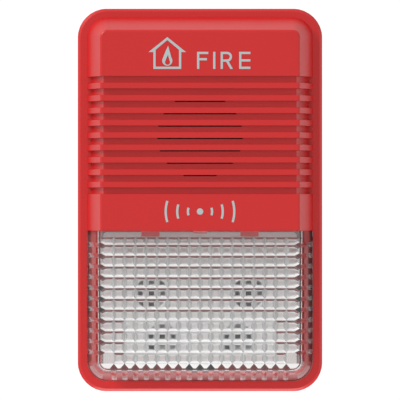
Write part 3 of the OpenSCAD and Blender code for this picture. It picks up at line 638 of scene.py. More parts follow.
FINISHES = (
    MouldedPlastic("red_plastic", (0.60, 0.012, 0.012), 0.36),
    MouldedPlastic("base_plastic", (0.55, 0.012, 0.012), 0.48, grain=0.00002),
    MouldedPlastic("dark_red_plastic", (0.40, 0.012, 0.012), 0.55, grain=0.00002),
    ClearPlastic("clear_lens", (0.98, 0.985, 0.985), 0.0, 1.58, 1.0),
    # The lens's tinted copies below are painted light, shade and reflection: pink painted reflection, painted
    # shadow, painted highlight, painted light grey, painted dark red reflection, painted shade grey, pink
    # painted reflection on the ribs and painted light on the strip.
    ClearPlastic("clear_lens_side", (0.50, 0.33, 0.33), 0.0, 1.58, 1.0, clarity=0.55),
    ClearPlastic("clear_lens_dark", (0.012, 0.010, 0.010), 0.0, 1.58, 1.0, clarity=0.1),
    ClearPlastic("clear_lens_low", (0.99, 0.98, 0.98), 0.0, 1.58, 1.0, clarity=0.05),
    ClearPlastic("clear_lens_left", (0.72, 0.72, 0.72), 0.0, 1.58, 1.0, clarity=0.3),
    ClearPlastic("clear_lens_high", (0.12, 0.010, 0.010), 0.0, 1.58, 1.0, clarity=0.1),
    ClearPlastic("clear_lens_right", (0.42, 0.42, 0.42), 0.0, 1.58, 1.0, clarity=0.3),
    ClearPlastic("clear_lens_rib", (0.55, 0.16, 0.16), 0.0, 1.58, 1.0, clarity=0.45),
    ClearPlastic("clear_lens_strip", (0.95, 0.97, 0.97), 0.0, 1.58, 1.0, clarity=0.8),
    ClearPlastic("lamp_dome", (0.05, 0.05, 0.045), 0.05, 1.45, 1.0, clarity=0.3),
    BareMetal("cup_silver", (0.48, 0.49, 0.50), 0.4),
    PrintedInk("silver_ink", (0.42, 0.50, 0.50), 0.45),
    MouldedPlastic("white_plastic", (0.72, 0.72, 0.71), 0.3),
    CircuitBoard("white_board", (0.80, 0.80, 0.79), 0.35, track=(0.72, 0.72, 0.70)),
    CircuitBoard("green_board", (0.010, 0.115, 0.040), 0.3),
    MouldedPlastic("led", (0.05, 0.05, 0.045), 0.2),
    BareMetal("brass", (0.72, 0.48, 0.18), 0.3),
    BareMetal("steel", (0.60, 0.61, 0.63), 0.32),
    MouldedPlastic("black_plastic", (0.012, 0.012, 0.013), 0.45),
    MouldedPlastic("switch_red", (0.48, 0.012, 0.012), 0.4),
    MouldedPlastic("slider_white", (0.80, 0.80, 0.77), 0.4),
    MouldedPlastic("ferrite", (0.06, 0.06, 0.065), 0.6, grain=0.00003, grain_scale=2500.0),
    BareMetal("copper", (0.62, 0.22, 0.08), 0.25, scratch=900.0),
    BareMetal("capacitor_sleeve", (0.5, 0.5, 0.52), 0.3),
    MouldedPlastic("chip_ceramic", (0.26, 0.21, 0.15), 0.5),
    MouldedPlastic("plug_plastic", (0.70, 0.68, 0.60), 0.45),
    MouldedPlastic("lead_red", (0.45, 0.01, 0.01), 0.45),
    MouldedPlastic("lead_black", (0.01, 0.01, 0.01), 0.45),
    WovenMesh("mesh", (0.008, 0.008, 0.008), 0.8),
    SoftRubber("foam", (0.03, 0.03, 0.03), 0.9),
    MouldedPlastic("grey_plastic", (0.17, 0.18, 0.19), 0.5, grain=0.00002),
    MouldedPlastic("piezo_ceramic", (0.72, 0.70, 0.62), 0.4, grain_scale=7000.0),
    SoftRubber("seal_rubber", (0.012, 0.012, 0.012), 0.7, cells=5000.0, relief=0.00001),
    RuledLabel("label", (0.80, 0.80, 0.79), 0.5),
)


# ---------------------------------------------------------------- pieces


def place_piece(name: str, bm: bmesh.types.BMesh, material: bpy.types.Material, body: Body,
                replaced: tuple[str, ...] = ()) -> bpy.types.Object:
    """Turns a mesh in the face frame into a piece of the model.

    Args:
        name: The piece's name.
        bm: Its mesh, which is freed.
        material: Its finish.
        body: The body that it rides on.
        replaced: CAD nodes that it stands for.

    Returns:
        The new object.
    """
    bmesh.ops.transform(bm, matrix=FACE, verts=bm.verts)
    mesh = bpy.data.meshes.new(name)
    bm.to_mesh(mesh)
    bm.free()
    mesh.materials.append(material)
    piece = bpy.data.objects.new(name, mesh)
    bpy.context.scene.collection.objects.link(piece)
    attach(piece, body.value)
    if replaced:
        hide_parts(*replaced)
    LOG.info("%s: %d faces", name, len(mesh.polygons))
    return piece


def cad_copy(node: str, flat: float = 0.5) -> bmesh.types.BMesh:
    """Copies a CAD node's mesh into the face frame, merged and with its flat faces joined.

    Args:
        node: The node's name.
        flat: Faces whose angle is under this many degrees are joined.

    Returns:
        The copy.
    """
    bm = bmesh.new()
    bm.from_mesh(frame["nodes"][node].data)
    bmesh.ops.transform(bm, matrix=FACE.inverted(), verts=bm.verts)
    bmesh.ops.remove_doubles(bm, verts=bm.verts, dist=0.004)
    bmesh.ops.dissolve_limit(bm, angle_limit=math.radians(flat), verts=bm.verts, edges=bm.edges)
    return bm


def round_edges(bm: bmesh.types.BMesh, edges: list[bmesh.types.BMEdge], width: float, segments: int) -> None:
    """Bevels edges.

    Args:
        bm: The mesh.
        edges: Its edges to round.
        width: Distance of the new edges from the old one.
        segments: Faces across the rounding.
    """
    bmesh.ops.bevel(bm, geom=edges, offset=width, segments=segments, profile=0.5, affect="EDGES", material=-1,
                    clamp_overlap=True)


def shade(bm: bmesh.types.BMesh, sharp: float) -> None:
    """Makes the faces smooth and the edges over an angle sharp.

    Args:
        bm: The mesh.
        sharp: The angle in degrees.
    """
    limit = math.radians(sharp)
    for face in bm.faces:
        face.smooth = True
    for edge in bm.edges:
        edge.smooth = edge.is_manifold and edge.calc_face_angle(0.0) < limit


def keep_flats_flat(piece: bpy.types.Object) -> None:
    """Weights the normals so that large flat faces stay flat beside their roundings.

    Args:
        piece: The object.
    """
    weighted = piece.modifiers.new("weighted", "WEIGHTED_NORMAL")
    weighted.keep_sharp = True


def facing(edge: bmesh.types.BMEdge, axis: int, low: float, high: float) -> bool:
    """Tells whether one of an edge's two faces has a normal component in a range.

    Args:
        edge: The edge.
        axis: 0 for x, 1 for y, 2 for z.
        low: The range's lower end.
        high: The range's upper end.

    Returns:
        True if one face is in the range.
    """
    return any(low <= abs(face.normal[axis]) <= high for face in edge.link_faces)


@dataclass
class FrontCover:
    """Red front cover: flange, raised body, louvres and lens recess.

    Attributes:
        front_z: Height of the body's front.
        rim_z: Height of the flange.
        crown: Rounding where the shoulders meet the front.
        flange_edge: Rounding of the flange's outer edge.
        groove_edge: Rounding of the louvres' edges.
        flange_band: Edges from the flange's height down to this far below it are its outer edge's.
        front_gap: Edges within this of the front count as being on it.
        rim_gap: Edges of the louvres are further than this above the flange.
        shoulder_slope: Least and greatest lean of the shoulders, as the normal's z.
        flange_slope: The same of the sloping face round the flange.
        front_slope: The same of the flat front.
        louvre_slope: Least and greatest of the normal's y on the louvres' upper and lower faces.
        least_angle: Edges flatter than this many degrees stay as they are.
    """

    front_z: float = 46.0
    rim_z: float = 28.0
    crown: float = 0.75
    flange_edge: float = 0.65
    groove_edge: float = 0.16
    flange_band: float = 1.1
    front_gap: float = 0.05
    rim_gap: float = 0.5
    shoulder_slope: tuple[float, float] = (0.15, 0.45)
    flange_slope: tuple[float, float] = (0.5, 0.85)
    front_slope: tuple[float, float] = (0.98, 1.0)
    louvre_slope: tuple[float, float] = (0.99, 1.0)
    least_angle: float = 15.0

    def edges(self, bm: bmesh.types.BMesh, kind: str) -> list[bmesh.types.BMEdge]:
        """Picks edges of one kind.

        Args:
            bm: The cover's mesh.
            kind: "crown", "flange" or "groove".

        Returns:
            The edges.
        """
        picked = []
        bm.normal_update()
        for edge in bm.edges:
            if len(edge.link_faces) != 2 or edge.calc_face_angle(0.0) < math.radians(self.least_angle):
                continue
            heights = [vert.co.z for vert in edge.verts]
            low, high = min(heights), max(heights)
            shoulder = facing(edge, 2, *self.shoulder_slope)
            front = facing(edge, 2, *self.front_slope)
            if kind == "crown" and low > self.front_z - self.front_gap and shoulder and front:
                picked.append(edge)
            if kind == "flange" and self.rim_z - self.flange_band < low and high < self.rim_z + NEAR:
                if facing(edge, 2, *self.flange_slope):
                    picked.append(edge)
            if kind == "groove" and low > self.rim_z + self.rim_gap and facing(edge, 1, *self.louvre_slope):
                outer = high > self.front_z - self.front_gap or shoulder
                if outer and edge.is_convex:
                    picked.append(edge)
        return picked

    def build(self, materials: dict[str, bpy.types.Material]) -> None:
        """Builds and dresses the cover.

        Args:
            materials: The finishes by name.
        """
        bm = cad_copy("front_cover")
        round_edges(bm, self.edges(bm, "crown"), self.crown, 4)
        round_edges(bm, self.edges(bm, "flange"), self.flange_edge, 3)
        round_edges(bm, self.edges(bm, "groove"), self.groove_edge, 2)
        shade(bm, SHARP_ANGLE)
        piece = place_piece("cover_shell", bm, materials["red_plastic"], Body.HEAD, ("front_cover",))
        keep_flats_flat(piece)


@dataclass
class PrismLens:
    """Clear lens: a bowl with rows of square prisms on the inside of its front.

    Attributes:
        foot_w: Half the width at the foot.
        foot_h: Half the height of the whole outline at the foot.
        lift: Height of the outline's middle.
        radius: Corner radius at the foot.
        wall: Thickness.
        run: How far the sides lean in.
        soft_edge: Steps of the rounding round the front, each inward and upward.
        shelf_z: Height that the lens stands on.
        foot_z: Height where the sides begin to lean.
        front_z: Height of the front.
        top_y: Height of the upper edge.
        pitch: Distance between prisms.
        columns: Number of prism columns.
        rows: Number of full rows.
        first_row: Upper edge of the first full row.
        edge_row: Upper edge of the part row above it.
        flat: Height of a prism's flat tip.
        stretch: How much each half of the slope is widened across.
        foot_share: Share of the slope that is beside the groove.
        rise: Height of a prism.
        inner_front: Half the width of the inner face behind the front.
        notch: Half the width of the notch between two prisms at the lens's sides.
        wide_notch: The same along the bottom.
        reach: How much longer a notch is than it is wide.
        lip: Size of the raised edge round the short cells of the bottom row.
        notch_area: Triangles under this area are notches.
        clear: Vertices further than this from the lens's side, or from an end of their row, are off it.
        bottom_part: The notches along the bottom reach this many times less far.
        tilt: Facets whose normal's y is beyond this face up or down.
        strip_area: Wall faces under this area aren't cut.
        wall_facing: Least of the normal's component across a wall, on the wall's own faces.
        bottom_facing: Least of the normal's y on the bottom wall's faces.
        rib_turn: Faces turned sideways by more than this, as the normal, are a rib's.
        sharp: Edges sharper than this many degrees stay sharp.
        corner_edge: Cells with edges under this length have a piece of the corner's arc.
        rib: Depth of the grooves down the inside of the walls.
        rib_half: Half their width.
        rings: Rings of faces that the inside of the walls is made of.
        tongue: Where the cover's tongues under the upper edge begin and end, from the middle.
        hook: Lower and upper end of the hook slots in the sides, whose shadow is painted on the lens.
        low_hook: Half the width of the hook slot at the bottom, whose shadow is painted on the lens.
        red_low: Upper facets above this height get the cover's red as painted reflection.
        red_side: So do those further out than this.
    """

    foot_w: float = 42.4
    foot_h: float = 68.4
    lift: float = 0.25
    radius: float = 7.8
    wall: float = 2.0
    run: float = 4.7
    soft_edge: tuple[tuple[float, float], ...] = ((0.05, 0.3), (0.12, 0.22), (0.22, 0.12), (0.3, 0.05))
    shelf_z: float = 24.0
    foot_z: float = 28.0
    front_z: float = 45.8
    top_y: float = -11.6
    pitch: float = 4.03
    columns: int = 18
    rows: int = 11
    first_row: float = -16.76
    edge_row: float = -13.9
    flat: float = 1.6
    stretch: float = 1.08
    foot_share: float = 0.68
    rise: float = 1.45
    inner_front: float = 37.2
    notch: float = 0.95
    wide_notch: float = 1.45
    reach: float = 0.85
    lip: float = 0.1
    notch_area: float = 3.0
    clear: float = 0.1
    bottom_part: float = 3.0
    tilt: float = 0.5
    strip_area: float = 1.0
    wall_facing: float = 0.9
    bottom_facing: float = 0.3
    rib_turn: float = 0.25
    sharp: float = 24.0
    corner_edge: float = 0.5
    rib: float = 0.8
    rib_half: float = 0.95
    rings: int = 4
    tongue: tuple[float, float] = (15.1, 21.8)
    hook: tuple[float, float] = (-43.3, -32.0)
    low_hook: float = 5.3
    red_low: float = -43.3
    red_side: float = 28.2

    def outline(self, bm: bmesh.types.BMesh, inset: float) -> bmesh.types.BMFace:
        """Draws a rounded rectangle at the foot.

        Args:
            bm: The mesh that it goes into.
            inset: How far inside the lens's outline.

        Returns:
            Its face.
        """
        verts = bmesh.ops.create_grid(bm, x_segments=1, y_segments=1, size=1.0)["verts"]
        bmesh.ops.scale(bm, vec=(self.foot_w - inset, self.foot_h - inset, 1.0), verts=verts)
        bmesh.ops.translate(bm, vec=(0.0, self.lift, self.foot_z), verts=verts)
        made = bmesh.ops.bevel(bm, geom=verts, offset=self.radius - inset, segments=10, profile=0.5,
                               affect="VERTICES", material=-1)
        linked = {f for vert in made["verts"] for f in vert.link_faces}
        face = max(linked, key=lambda f: f.calc_area())
        bm.normal_update()
        if face.normal.z < 0:
            face.normal_flip()
        return face

    def climb(self, bm: bmesh.types.BMesh, face: bmesh.types.BMFace,
              steps: list[tuple[float, float]]) -> None:
        """Raises a face in steps, each a ring of new faces.

        Args:
            bm: The mesh.
            face: The face.
            steps: How far inward and how far up, for each step.
        """
        for inward, rise in steps:
            bmesh.ops.inset_region(bm, faces=[face], thickness=inward, depth=rise, use_even_offset=True,
                                   use_boundary=True)

    def front_faces(self, bm: bmesh.types.BMesh) -> list[bmesh.types.BMFace]:
        """Finds the faces of the inside of the front."""
        level = self.front_z - self.wall
        return [face for face in bm.faces if all(abs(vert.co.z - level) < HAIR for vert in face.verts)]

    def cut(self, bm: bmesh.types.BMesh, faces: list[bmesh.types.BMFace], axis: int, at: float) -> None:
        """Splits faces along a line.

        Args:
            bm: The mesh.
            faces: The faces.
            axis: 0 to cut at one x, 1 to cut at one y.
            at: Where the cut is.
        """
        geom = faces + list({e for f in faces for e in f.edges}) + list({v for f in faces for v in f.verts})
        place = [0.0, 0.0, 0.0]
        normal = [0.0, 0.0, 0.0]
        place[axis] = at
        normal[axis] = 1.0
        bmesh.ops.bisect_plane(bm, geom=geom, plane_co=place, plane_no=normal)

    def shell(self) -> bmesh.types.BMesh:
        """Makes the bowl, cut off along its upper edge and closed there.

        Returns:
            The closed mesh.
        """
        bm = bmesh.new()
        slope = self.run / (self.front_z - self.foot_z)
        upward = sum(step[1] for step in self.soft_edge)
        rise = self.front_z - self.foot_z - upward
        outer = self.outline(bm, 0.0)
        self.climb(bm, outer, [(slope * rise, rise), *self.soft_edge])
        inner = self.outline(bm, self.wall)
        lean = self.foot_w - self.wall - self.inner_front
        height = self.front_z - self.wall - self.foot_z
        self.climb(bm, inner, [(lean / self.rings, height / self.rings)] * self.rings)
        feet = [edge for edge in bm.edges if edge.is_boundary]
        lower = bmesh.ops.extrude_edge_only(bm, edges=feet)["geom"]
        down = (0.0, 0.0, self.shelf_z - self.foot_z)
        bmesh.ops.translate(bm, vec=down, verts=[v for v in lower if isinstance(v, bmesh.types.BMVert)])
        bmesh.ops.bridge_loops(bm, edges=[edge for edge in bm.edges if edge.is_boundary])
        made = bmesh.ops.bisect_plane(bm, geom=bm.verts[:] + bm.edges[:] + bm.faces[:],
                                      plane_co=(0.0, self.top_y, 0.0), plane_no=(0.0, 1.0, 0.0),
                                      clear_outer=True)
        rim = [edge for edge in made["geom_cut"] if isinstance(edge, bmesh.types.BMEdge)]
        bmesh.ops.contextual_create(bm, geom=rim)
        bmesh.ops.recalc_face_normals(bm, faces=bm.faces)
        return bm

    def prisms(self, bm: bmesh.types.BMesh) -> None:
        """Cuts the inner face into squares and pulls a prism out of each.

        Args:
            bm: The bowl.
        """
        half = self.columns * self.pitch / 2
        low = self.first_row - self.rows * self.pitch
        levels = [self.first_row - k * self.pitch for k in range(self.rows + 1)]
        for i in range(1, self.columns):
            self.cut(bm, self.front_faces(bm), 0, i * self.pitch - half)
        for level in [*levels, self.edge_row]:
            self.cut(bm, self.front_faces(bm), 1, level)
        for at in (-self.tongue[1], -self.tongue[0], *self.tongue):
            above = [face for face in self.front_faces(bm) if face.calc_center_median().y > self.edge_row]
            self.cut(bm, above, 0, at)
        inner_low = min(vert.co.y for face in self.front_faces(bm) for vert in face.verts)
        for offset, at_bottom in ((self.notch, False), (self.wide_notch, True)):
            joints = {vert for face in self.front_faces(bm) for vert in face.verts
                      if self.on_edge(vert, levels[:-1], half, inner_low, at_bottom)}
            bmesh.ops.bevel(bm, geom=list(joints), offset=offset, segments=1, profile=0.5,
                            affect="VERTICES", material=-1)
        cells = []
        lips = []
        for face in self.front_faces(bm):
            middle = face.calc_center_median()
            in_corner = min(edge.calc_length() for edge in face.edges) < self.corner_edge
            if len(face.verts) == 3 and face.calc_area() < self.notch_area:
                # Notches get the cover's red as painted reflection, or painted shadow beside the hook slots.
                face.material_index = (LensFinish.PAINTED_SHADOW if self.at_hook(face) else LensFinish.PAINTED_RED_REFLECTION).index
                self.lengthen(face, inner_low)
            elif middle.y < low or in_corner:
                lips.append(face)
            elif middle.y < self.edge_row:
                cells.append(face)
            elif not self.tongue[0] < abs(middle.x) < self.tongue[1]:
                # The strip above the prisms gets painted light.
                face.material_index = LensFinish.STRIP_PAINTED_LIGHT.index
        raised = [lip for lip in lips if abs(lip.calc_center_median().x) < half - self.pitch / 2]
        bmesh.ops.inset_individual(bm, faces=raised, thickness=self.lip, depth=self.lip, use_even_offset=True)
        # Short cells along the bottom get a painted highlight, the others painted light.
        for lip in lips:
            short = lip.calc_center_median().y < low
            lip.material_index = (LensFinish.PAINTED_HIGHLIGHT if short else LensFinish.STRIP_PAINTED_LIGHT).index
        run = (self.pitch - self.flat) / 2
        for share, at_foot in ((self.foot_share, True), (1.0 - self.foot_share, False)):
            facets = bmesh.ops.inset_individual(bm, faces=cells, thickness=run * share,
                                                depth=self.rise * share, use_even_offset=True)["faces"]
            self.widen(cells)
            bm.normal_update()
            for facet in facets:
                facet.material_index = self.facet_finish(facet, at_foot).index
        LOG.info("prisms: %d", len(cells))

    def at_hook(self, face: bmesh.types.BMFace) -> bool:
        """Tells whether a face is beside one of the slots that the lens hooks into.

        Args:
            face: The face.

        Returns:
            True if the slot's painted shadow goes on it.
        """
        middle = face.calc_center_median()
        return self.hook[0] < middle.y < self.hook[1] or abs(middle.x) < self.low_hook

    def lengthen(self, notch: bmesh.types.BMFace, low: float) -> None:
        """Moves a notch's tip further in from the lens's edge.

        Args:
            notch: The notch, a triangle.
            low: Lower edge of the inner face.
        """
        for vert in notch.verts:
            if vert.co.y > low + self.clear and abs(vert.co.x) < self.inner_front - self.clear:
                if notch.calc_center_median().y < low + self.notch:
                    vert.co.y += self.reach / self.bottom_part
                else:
                    vert.co.x -= math.copysign(self.reach, vert.co.x)

    def widen(self, tips: list[bmesh.types.BMFace]) -> None:
        """Makes the prisms' tips wider across than they are high.

        Args:
            tips: The tips.
        """
        for tip in tips:
            middle = tip.calc_center_median().x
            for vert in tip.verts:
                vert.co.x = middle + (vert.co.x - middle) * self.stretch

    def facet_finish(self, facet: bmesh.types.BMFace, at_foot: bool) -> LensFinish:
        """Chooses the painted light, shade, highlight or red reflection of a facet by the side that it faces.

        Args:
            facet: A sloping face of a prism.
            at_foot: Whether it is in the lower part of the prism's slope, beside the groove.

        Returns:
            The finish.
        """
        middle = facet.calc_center_median()
        # Upper facets here get the cover's red as painted reflection.
        red = middle.y > self.red_low or abs(middle.x) > self.red_side
        if facet.normal.y < -self.tilt:
            return LensFinish.PAINTED_HIGHLIGHT if at_foot else LensFinish.PAINTED_LIGHT_GREY
        if facet.normal.y > self.tilt:
            if at_foot:
                return LensFinish.PAINTED_RED_REFLECTION if red else LensFinish.PAINTED_SHADE_GREY
            return LensFinish.PAINTED_LIGHT_GREY
        return LensFinish.PAINTED_LIGHT_GREY if facet.normal.x < 0 else LensFinish.PAINTED_SHADE_GREY

    def on_edge(self, vert: bmesh.types.BMVert, levels: list[float], half: float, low: float,
                bottom: bool) -> bool:
        """Tells whether a vertex is where a groove between prisms runs out at the lens's side or bottom.

        Args:
            vert: The vertex.
            levels: Heights of the grooves across.
            half: Half the width of the field of prisms.
            low: Lower edge of the inner face.
            bottom: Whether to look along the bottom or up the sides.

        Returns:
            True if a notch goes there.
        """
        at_side = abs(abs(vert.co.x) - self.inner_front) < NEAR
        at_bottom = abs(vert.co.y - low) < NEAR
        in_row = any(abs(vert.co.y - level) < NEAR for level in levels)
        column = (vert.co.x + half) / self.pitch
        off_corner = abs(vert.co.x) < half - self.clear
        in_column = abs(column - round(column)) * self.pitch < NEAR and off_corner
        return (at_bottom and in_column) if bottom else (at_side and in_row)

    def wall_faces(self, bm: bmesh.types.BMesh, axis: int, side: float) -> list[bmesh.types.BMFace]:
        """Finds the leaning inner faces of one wall.

        Args:
            bm: The bowl.
            axis: 0 for a side wall, 1 for the bottom wall.
            side: -1 or 1, the side that the wall is on.

        Returns:
            The faces, between the foot and the front.
        """
        level = self.front_z - self.wall
        found = []
        for face in bm.faces:
            middle = face.calc_center_median()
            between = self.foot_z < middle.z < level and face.calc_area() > self.strip_area
            if between and face.normal[axis] * side < -self.wall_facing:
                found.append(face)
        return found

    def ribs(self, bm: bmesh.types.BMesh) -> None:
        """Cuts a V groove down the inside of the walls in line with each groove between the prisms.

        Args:
            bm: The bowl with its prisms.
        """
        half = self.columns * self.pitch / 2
        rows = [self.first_row - k * self.pitch for k in range(self.rows)]
        columns = [i * self.pitch - half for i in range(1, self.columns)]
        for axis, side, lines in ((0, -1.0, rows), (0, 1.0, rows), (1, -1.0, columns)):
            across = 1 - axis
            for line in lines:
                for at in (line - self.rib_half, line, line + self.rib_half):
                    self.cut(bm, self.wall_faces(bm, axis, side), across, at)
            level = self.front_z - self.wall - HAIR
            verts = {vert for face in self.wall_faces(bm, axis, side) for vert in face.verts
                     if self.foot_z - HAIR < vert.co.z < level + NEAR
                     and any(abs(vert.co[across] - line) < NEAR for line in lines)}
            push = [0.0, 0.0, 0.0]
            push[axis] = side * self.rib
            bmesh.ops.translate(bm, verts=list(verts), vec=push)
            bm.normal_update()

    def dress_walls(self, bm: bmesh.types.BMesh) -> None:
        """Paints reflection, light and shade on the inside of the walls and their grooves, as their finishes.

        Args:
            bm: The bowl.
        """
        low = self.lift - self.foot_h + self.foot_w - self.inner_front
        for face in bm.faces:
            middle = face.calc_center_median()
            if not self.foot_z < middle.z < self.front_z - self.wall - HAIR:
                continue
            at_side = abs(middle.x) > self.inner_front and face.normal.x * middle.x < 0
            at_bottom = middle.y < low and face.normal.y > self.bottom_facing
            if at_side or at_bottom:
                along = abs(face.normal.y if at_side else face.normal.x)
                share = (middle.z - self.foot_z) / (self.front_z - self.wall - self.foot_z)
                ring = min(int(share * self.rings), self.rings - 1)
                finish = (RIB_RINGS if along > self.rib_turn else WALL_RINGS)[ring]
                # Beside the hook slots the painted red reflection becomes painted shadow.
                if finish is LensFinish.PAINTED_RED_REFLECTION and self.at_hook(face):
                    finish = LensFinish.PAINTED_SHADOW
                face.material_index = finish.index

    def build(self, materials: dict[str, bpy.types.Material]) -> None:
        """Builds and dresses the lens.

        Args:
            materials: The finishes by name.
        """
        bm = self.shell()
        self.prisms(bm)
        self.ribs(bm)
        shade(bm, self.sharp)
        loose = sum(1 for edge in bm.edges if not edge.is_manifold)
        LOG.info("lens: %d open edges", loose)
        self.dress_walls(bm)
        piece = place_piece("prism_lens", bm, materials[LensFinish.CLEAR.value], Body.HEAD, ("lens",))
        for finish in list(LensFinish)[1:]:
            piece.data.materials.append(materials[finish.value])
        keep_flats_flat(piece)


@dataclass
class LampTray:
    """Reflector tray with its metallised cups, and the flash lamps in them.

    Attributes:
        lamps: How many lamps there are.
        cup_r: Radius of a cup's mouth.
        lip: Rounding of the tray's edges.
        package: Side and thickness of a lamp's ceramic package.
        window: Radius of the dome over the emitter.
        frame_w: Width of the package's raised frame.
    """

    lamps: int = 4
    cup_r: float = 6.0
    lip: float = 0.25
    package: tuple[float, float] = (5.0, 1.0)
    window: float = 2.1
    frame_w: float = 0.35

    def centre(self, number: int) -> Vector:
        """Finds where a lamp's package stands, in the face frame.

        Args:
            number: The lamp's number, from 1.

        Returns:
            The middle of its underside.
        """
        low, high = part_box(f"led_{number}")
        middle = [(a + b) / 2 for a, b in zip(low, high)]
        return FACE.inverted() @ Vector((middle[0], high[1], middle[2]))

    def lamp(self, number: int, materials: dict[str, bpy.types.Material]) -> None:
        """Builds one lamp: a ceramic package with a raised frame and a clear dome.

        Args:
            number: Its number, from 1.
            materials: The finishes by name.
        """
        side, thick = self.package
        bm = bmesh.new()
        bmesh.ops.create_cube(bm, size=1.0)
        bmesh.ops.scale(bm, vec=(side, side, thick), verts=bm.verts)
        bmesh.ops.translate(bm, vec=(0.0, 0.0, thick / 2), verts=bm.verts)
        bm.normal_update()
        upright = [e for e in bm.edges if abs(e.verts[0].co.z - e.verts[1].co.z) > thick / 2]
        round_edges(bm, upright, self.frame_w, 2)
        bm.normal_update()
        top = [face for face in bm.faces if face.normal.z > 0.9]
        bmesh.ops.inset_region(bm, faces=top, thickness=self.frame_w, depth=0.0)
        bmesh.ops.inset_region(bm, faces=top, thickness=self.frame_w / 2, depth=-self.frame_w)
        dome = bmesh.ops.create_uvsphere(bm, u_segments=24, v_segments=12, radius=self.window)["verts"]
        bmesh.ops.translate(bm, vec=(0.0, 0.0, thick - self.frame_w), verts=dome)
        faces = {face for vert in dome for face in vert.link_faces}
        edges = {edge for vert in dome for edge in vert.link_edges}
        made = bmesh.ops.bisect_plane(bm, geom=[*dome, *edges, *faces],
                                      plane_co=(0.0, 0.0, thick - self.frame_w),
                                      plane_no=(0.0, 0.0, -1.0), clear_outer=True)
        foot = [edge for edge in made["geom_cut"] if isinstance(edge, bmesh.types.BMEdge)]
        bmesh.ops.contextual_create(bm, geom=foot)
        bmesh.ops.recalc_face_normals(bm, faces=bm.faces)
        for face in bm.faces:
            face.material_index = int(all(vert.co.z > thick - self.frame_w - 0.01 and
                                          vert.co.xy.length < self.window + 0.01 for vert in face.verts))
        shade(bm, SHARP_ANGLE)
        bmesh.ops.translate(bm, vec=self.centre(number), verts=bm.verts)
        piece = place_piece(f"flash_lamp_{number}", bm, materials["led"], Body.HEAD, (f"led_{number}",))
        piece.data.materials.append(materials["lamp_dome"])

    def tray(self, materials: dict[str, bpy.types.Material]) -> None:
        """Builds the tray and metallises its cups.

        Args:
            materials: The finishes by name.
        """
        bm = cad_copy("reflector")
        bm.normal_update()
        front = max(vert.co.z for vert in bm.verts)
        rims = [edge for edge in bm.edges if min(vert.co.z for vert in edge.verts) > front - 0.01
                and edge.calc_face_angle(0.0) > math.radians(30)]
        round_edges(bm, rims, self.lip, 2)
        cups = [self.centre(number) for number in range(1, self.lamps + 1)]
        for face in bm.faces:
            middle = face.calc_center_median()
            inside = any((middle - cup).xy.length < self.cup_r for cup in cups)
            face.material_index = int(inside and abs(face.normal.z) < 0.95)
        shade(bm, SHARP_ANGLE)
        piece = place_piece("lamp_reflector", bm, materials["white_plastic"], Body.HEAD, ("reflector",))
        piece.data.materials.append(materials["cup_silver"])
        keep_flats_flat(piece)

    def build(self, materials: dict[str, bpy.types.Material]) -> None:
        """Builds and dresses the tray and the lamps.

        Args:
            materials: The finishes by name.
        """
        self.tray(materials)
        for number in range(1, self.lamps + 1):
            self.lamp(number, materials)


class CadParts:
    """Pieces whose CAD shape is kept and only gets its finish."""

    def dress(self, materials: dict[str, bpy.types.Material]) -> None:
        """Gives each CAD node the finish of its slot.

        Args:
            materials: The finishes by name.
        """
        for part in frame["record"]["subparts"]:
            node = frame["nodes"][part["node"]]
            node.data.materials.clear()
            node.data.materials.append(materials[part["material_slot"]])
            LOG.info("%s: %s", part["node"], part["material_slot"])


# ---------------------------------------------------------------- stage


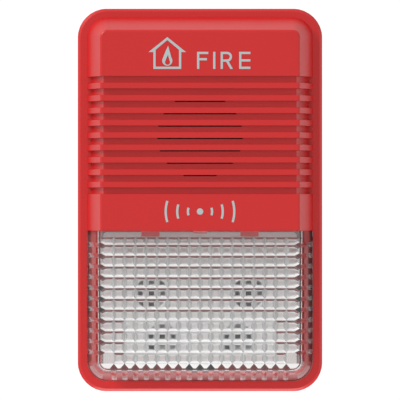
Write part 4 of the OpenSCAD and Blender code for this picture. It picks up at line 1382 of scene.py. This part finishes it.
@dataclass
class Studio:
    """Pale floor, soft lights and the camera.

    Attributes:
        scale: Size of a millimetre of the flange in the 400-wide view.
        view: Width of the view.
        focal: The lens's focal length.
        sensor: Width of the sensor.
        flange_y: Where the flange is along the line of sight.
        floor_z: Height of the floor.
        floor_r: Its radius.
    """

    scale: float = 2.657
    view: float = 400.0
    focal: float = 500.0
    sensor: float = 36.0
    flange_y: float = -0.028
    floor_z: float = -1.2
    floor_r: float = 3.0

    def camera(self) -> None:
        """Makes the long-lens camera, straight in front of the flange's centre."""
        data = bpy.data.cameras.new("camera")
        data.lens = self.focal
        data.sensor_width = self.sensor
        data.clip_end = 20.0
        distance = self.view * self.focal / (self.sensor * self.scale) / 1000.0
        camera = bpy.data.objects.new("camera", data)
        camera.location = (0.0, self.flange_y - distance, 0.0)
        camera.rotation_euler = (math.radians(90), 0.0, 0.0)
        bpy.context.scene.collection.objects.link(camera)
        bpy.context.scene.camera = camera

    def floor(self, material: bpy.types.Material) -> None:
        """Makes the floor.

        Args:
            material: Its finish.
        """
        bm = bmesh.new()
        bmesh.ops.create_circle(bm, cap_ends=True, radius=self.floor_r, segments=96)
        bmesh.ops.translate(bm, verts=bm.verts, vec=(0.0, 0.0, self.floor_z))
        mesh = bpy.data.meshes.new("floor")
        bm.to_mesh(mesh)
        bm.free()
        mesh.materials.append(material)
        floor = bpy.data.objects.new("floor", mesh)
        bpy.context.scene.collection.objects.link(floor)

    def world(self, glow: float, seen: float) -> None:
        """Makes a bright even surround.

        Args:
            glow: Strength of its light on the object.
            seen: Strength where the camera sees it.
        """
        world = bpy.data.worlds.new("world")
        bpy.context.scene.world = world
        world.use_nodes = True
        tree = world.node_tree
        tree.nodes["Background"].inputs["Color"].default_value = (1.0, 1.0, 1.0, 1.0)
        tree.nodes["Background"].inputs["Strength"].default_value = glow
        backdrop = tree.nodes.new("ShaderNodeBackground")
        backdrop.inputs["Color"].default_value = (1.0, 1.0, 1.0, 1.0)
        backdrop.inputs["Strength"].default_value = seen
        path = tree.nodes.new("ShaderNodeLightPath")
        mix = tree.nodes.new("ShaderNodeMixShader")
        tree.links.new(path.outputs["Is Camera Ray"], mix.inputs[0])
        tree.links.new(tree.nodes["Background"].outputs["Background"], mix.inputs[1])
        tree.links.new(backdrop.outputs["Background"], mix.inputs[2])
        tree.links.new(mix.outputs["Shader"], tree.nodes["World Output"].inputs["Surface"])

    def lamp(self, name: str, place: Colour, size: float, power: float) -> None:
        """Adds a soft square lamp aimed at the object.

        Args:
            name: Its name.
            place: Where it hangs, in metres.
            size: Side of the square, in metres.
            power: Watts.
        """
        data = bpy.data.lights.new(name, "AREA")
        data.energy = power
        data.size = size
        lamp = bpy.data.objects.new(name, data)
        lamp.location = place
        lamp.rotation_euler = Vector(place).to_track_quat("Z", "Y").to_euler()
        bpy.context.scene.collection.objects.link(lamp)

    def build(self, effects: dict[str, Tree]) -> None:
        """Builds the stage.

        Args:
            effects: The shared node groups by name.
        """
        self.camera()
        self.world(0.73, 1.05)
        self.floor(MouldedPlastic("floor", (0.9, 0.9, 0.9), 0.8).build(effects))
        self.lamp("key", (-0.79, -0.50, 0.77), 0.45, 8.0)
        self.lamp("low", (0.0, -0.05, -0.33), 0.3, 0.7)
        self.lamp("side", (0.90, -0.05, 0.05), 0.45, 0.3)
        bpy.context.scene.view_settings.view_transform = "Standard"


def main() -> None:
    """Builds the finishes, the pieces and the studio."""
    logging.basicConfig(level=logging.INFO, format="%(message)s")
    effects = {"moulded_surface": moulded_surface(), "drawn_metal": drawn_metal(), "open_cells": open_cells()}
    materials = {finish.name: finish.build(effects) for finish in FINISHES}
    CadParts().dress(materials)
    FrontCover().build(materials)
    PrismLens().build(materials)
    LampTray().build(materials)
    Studio().build(effects)


if __name__ == "__main__":
    main()
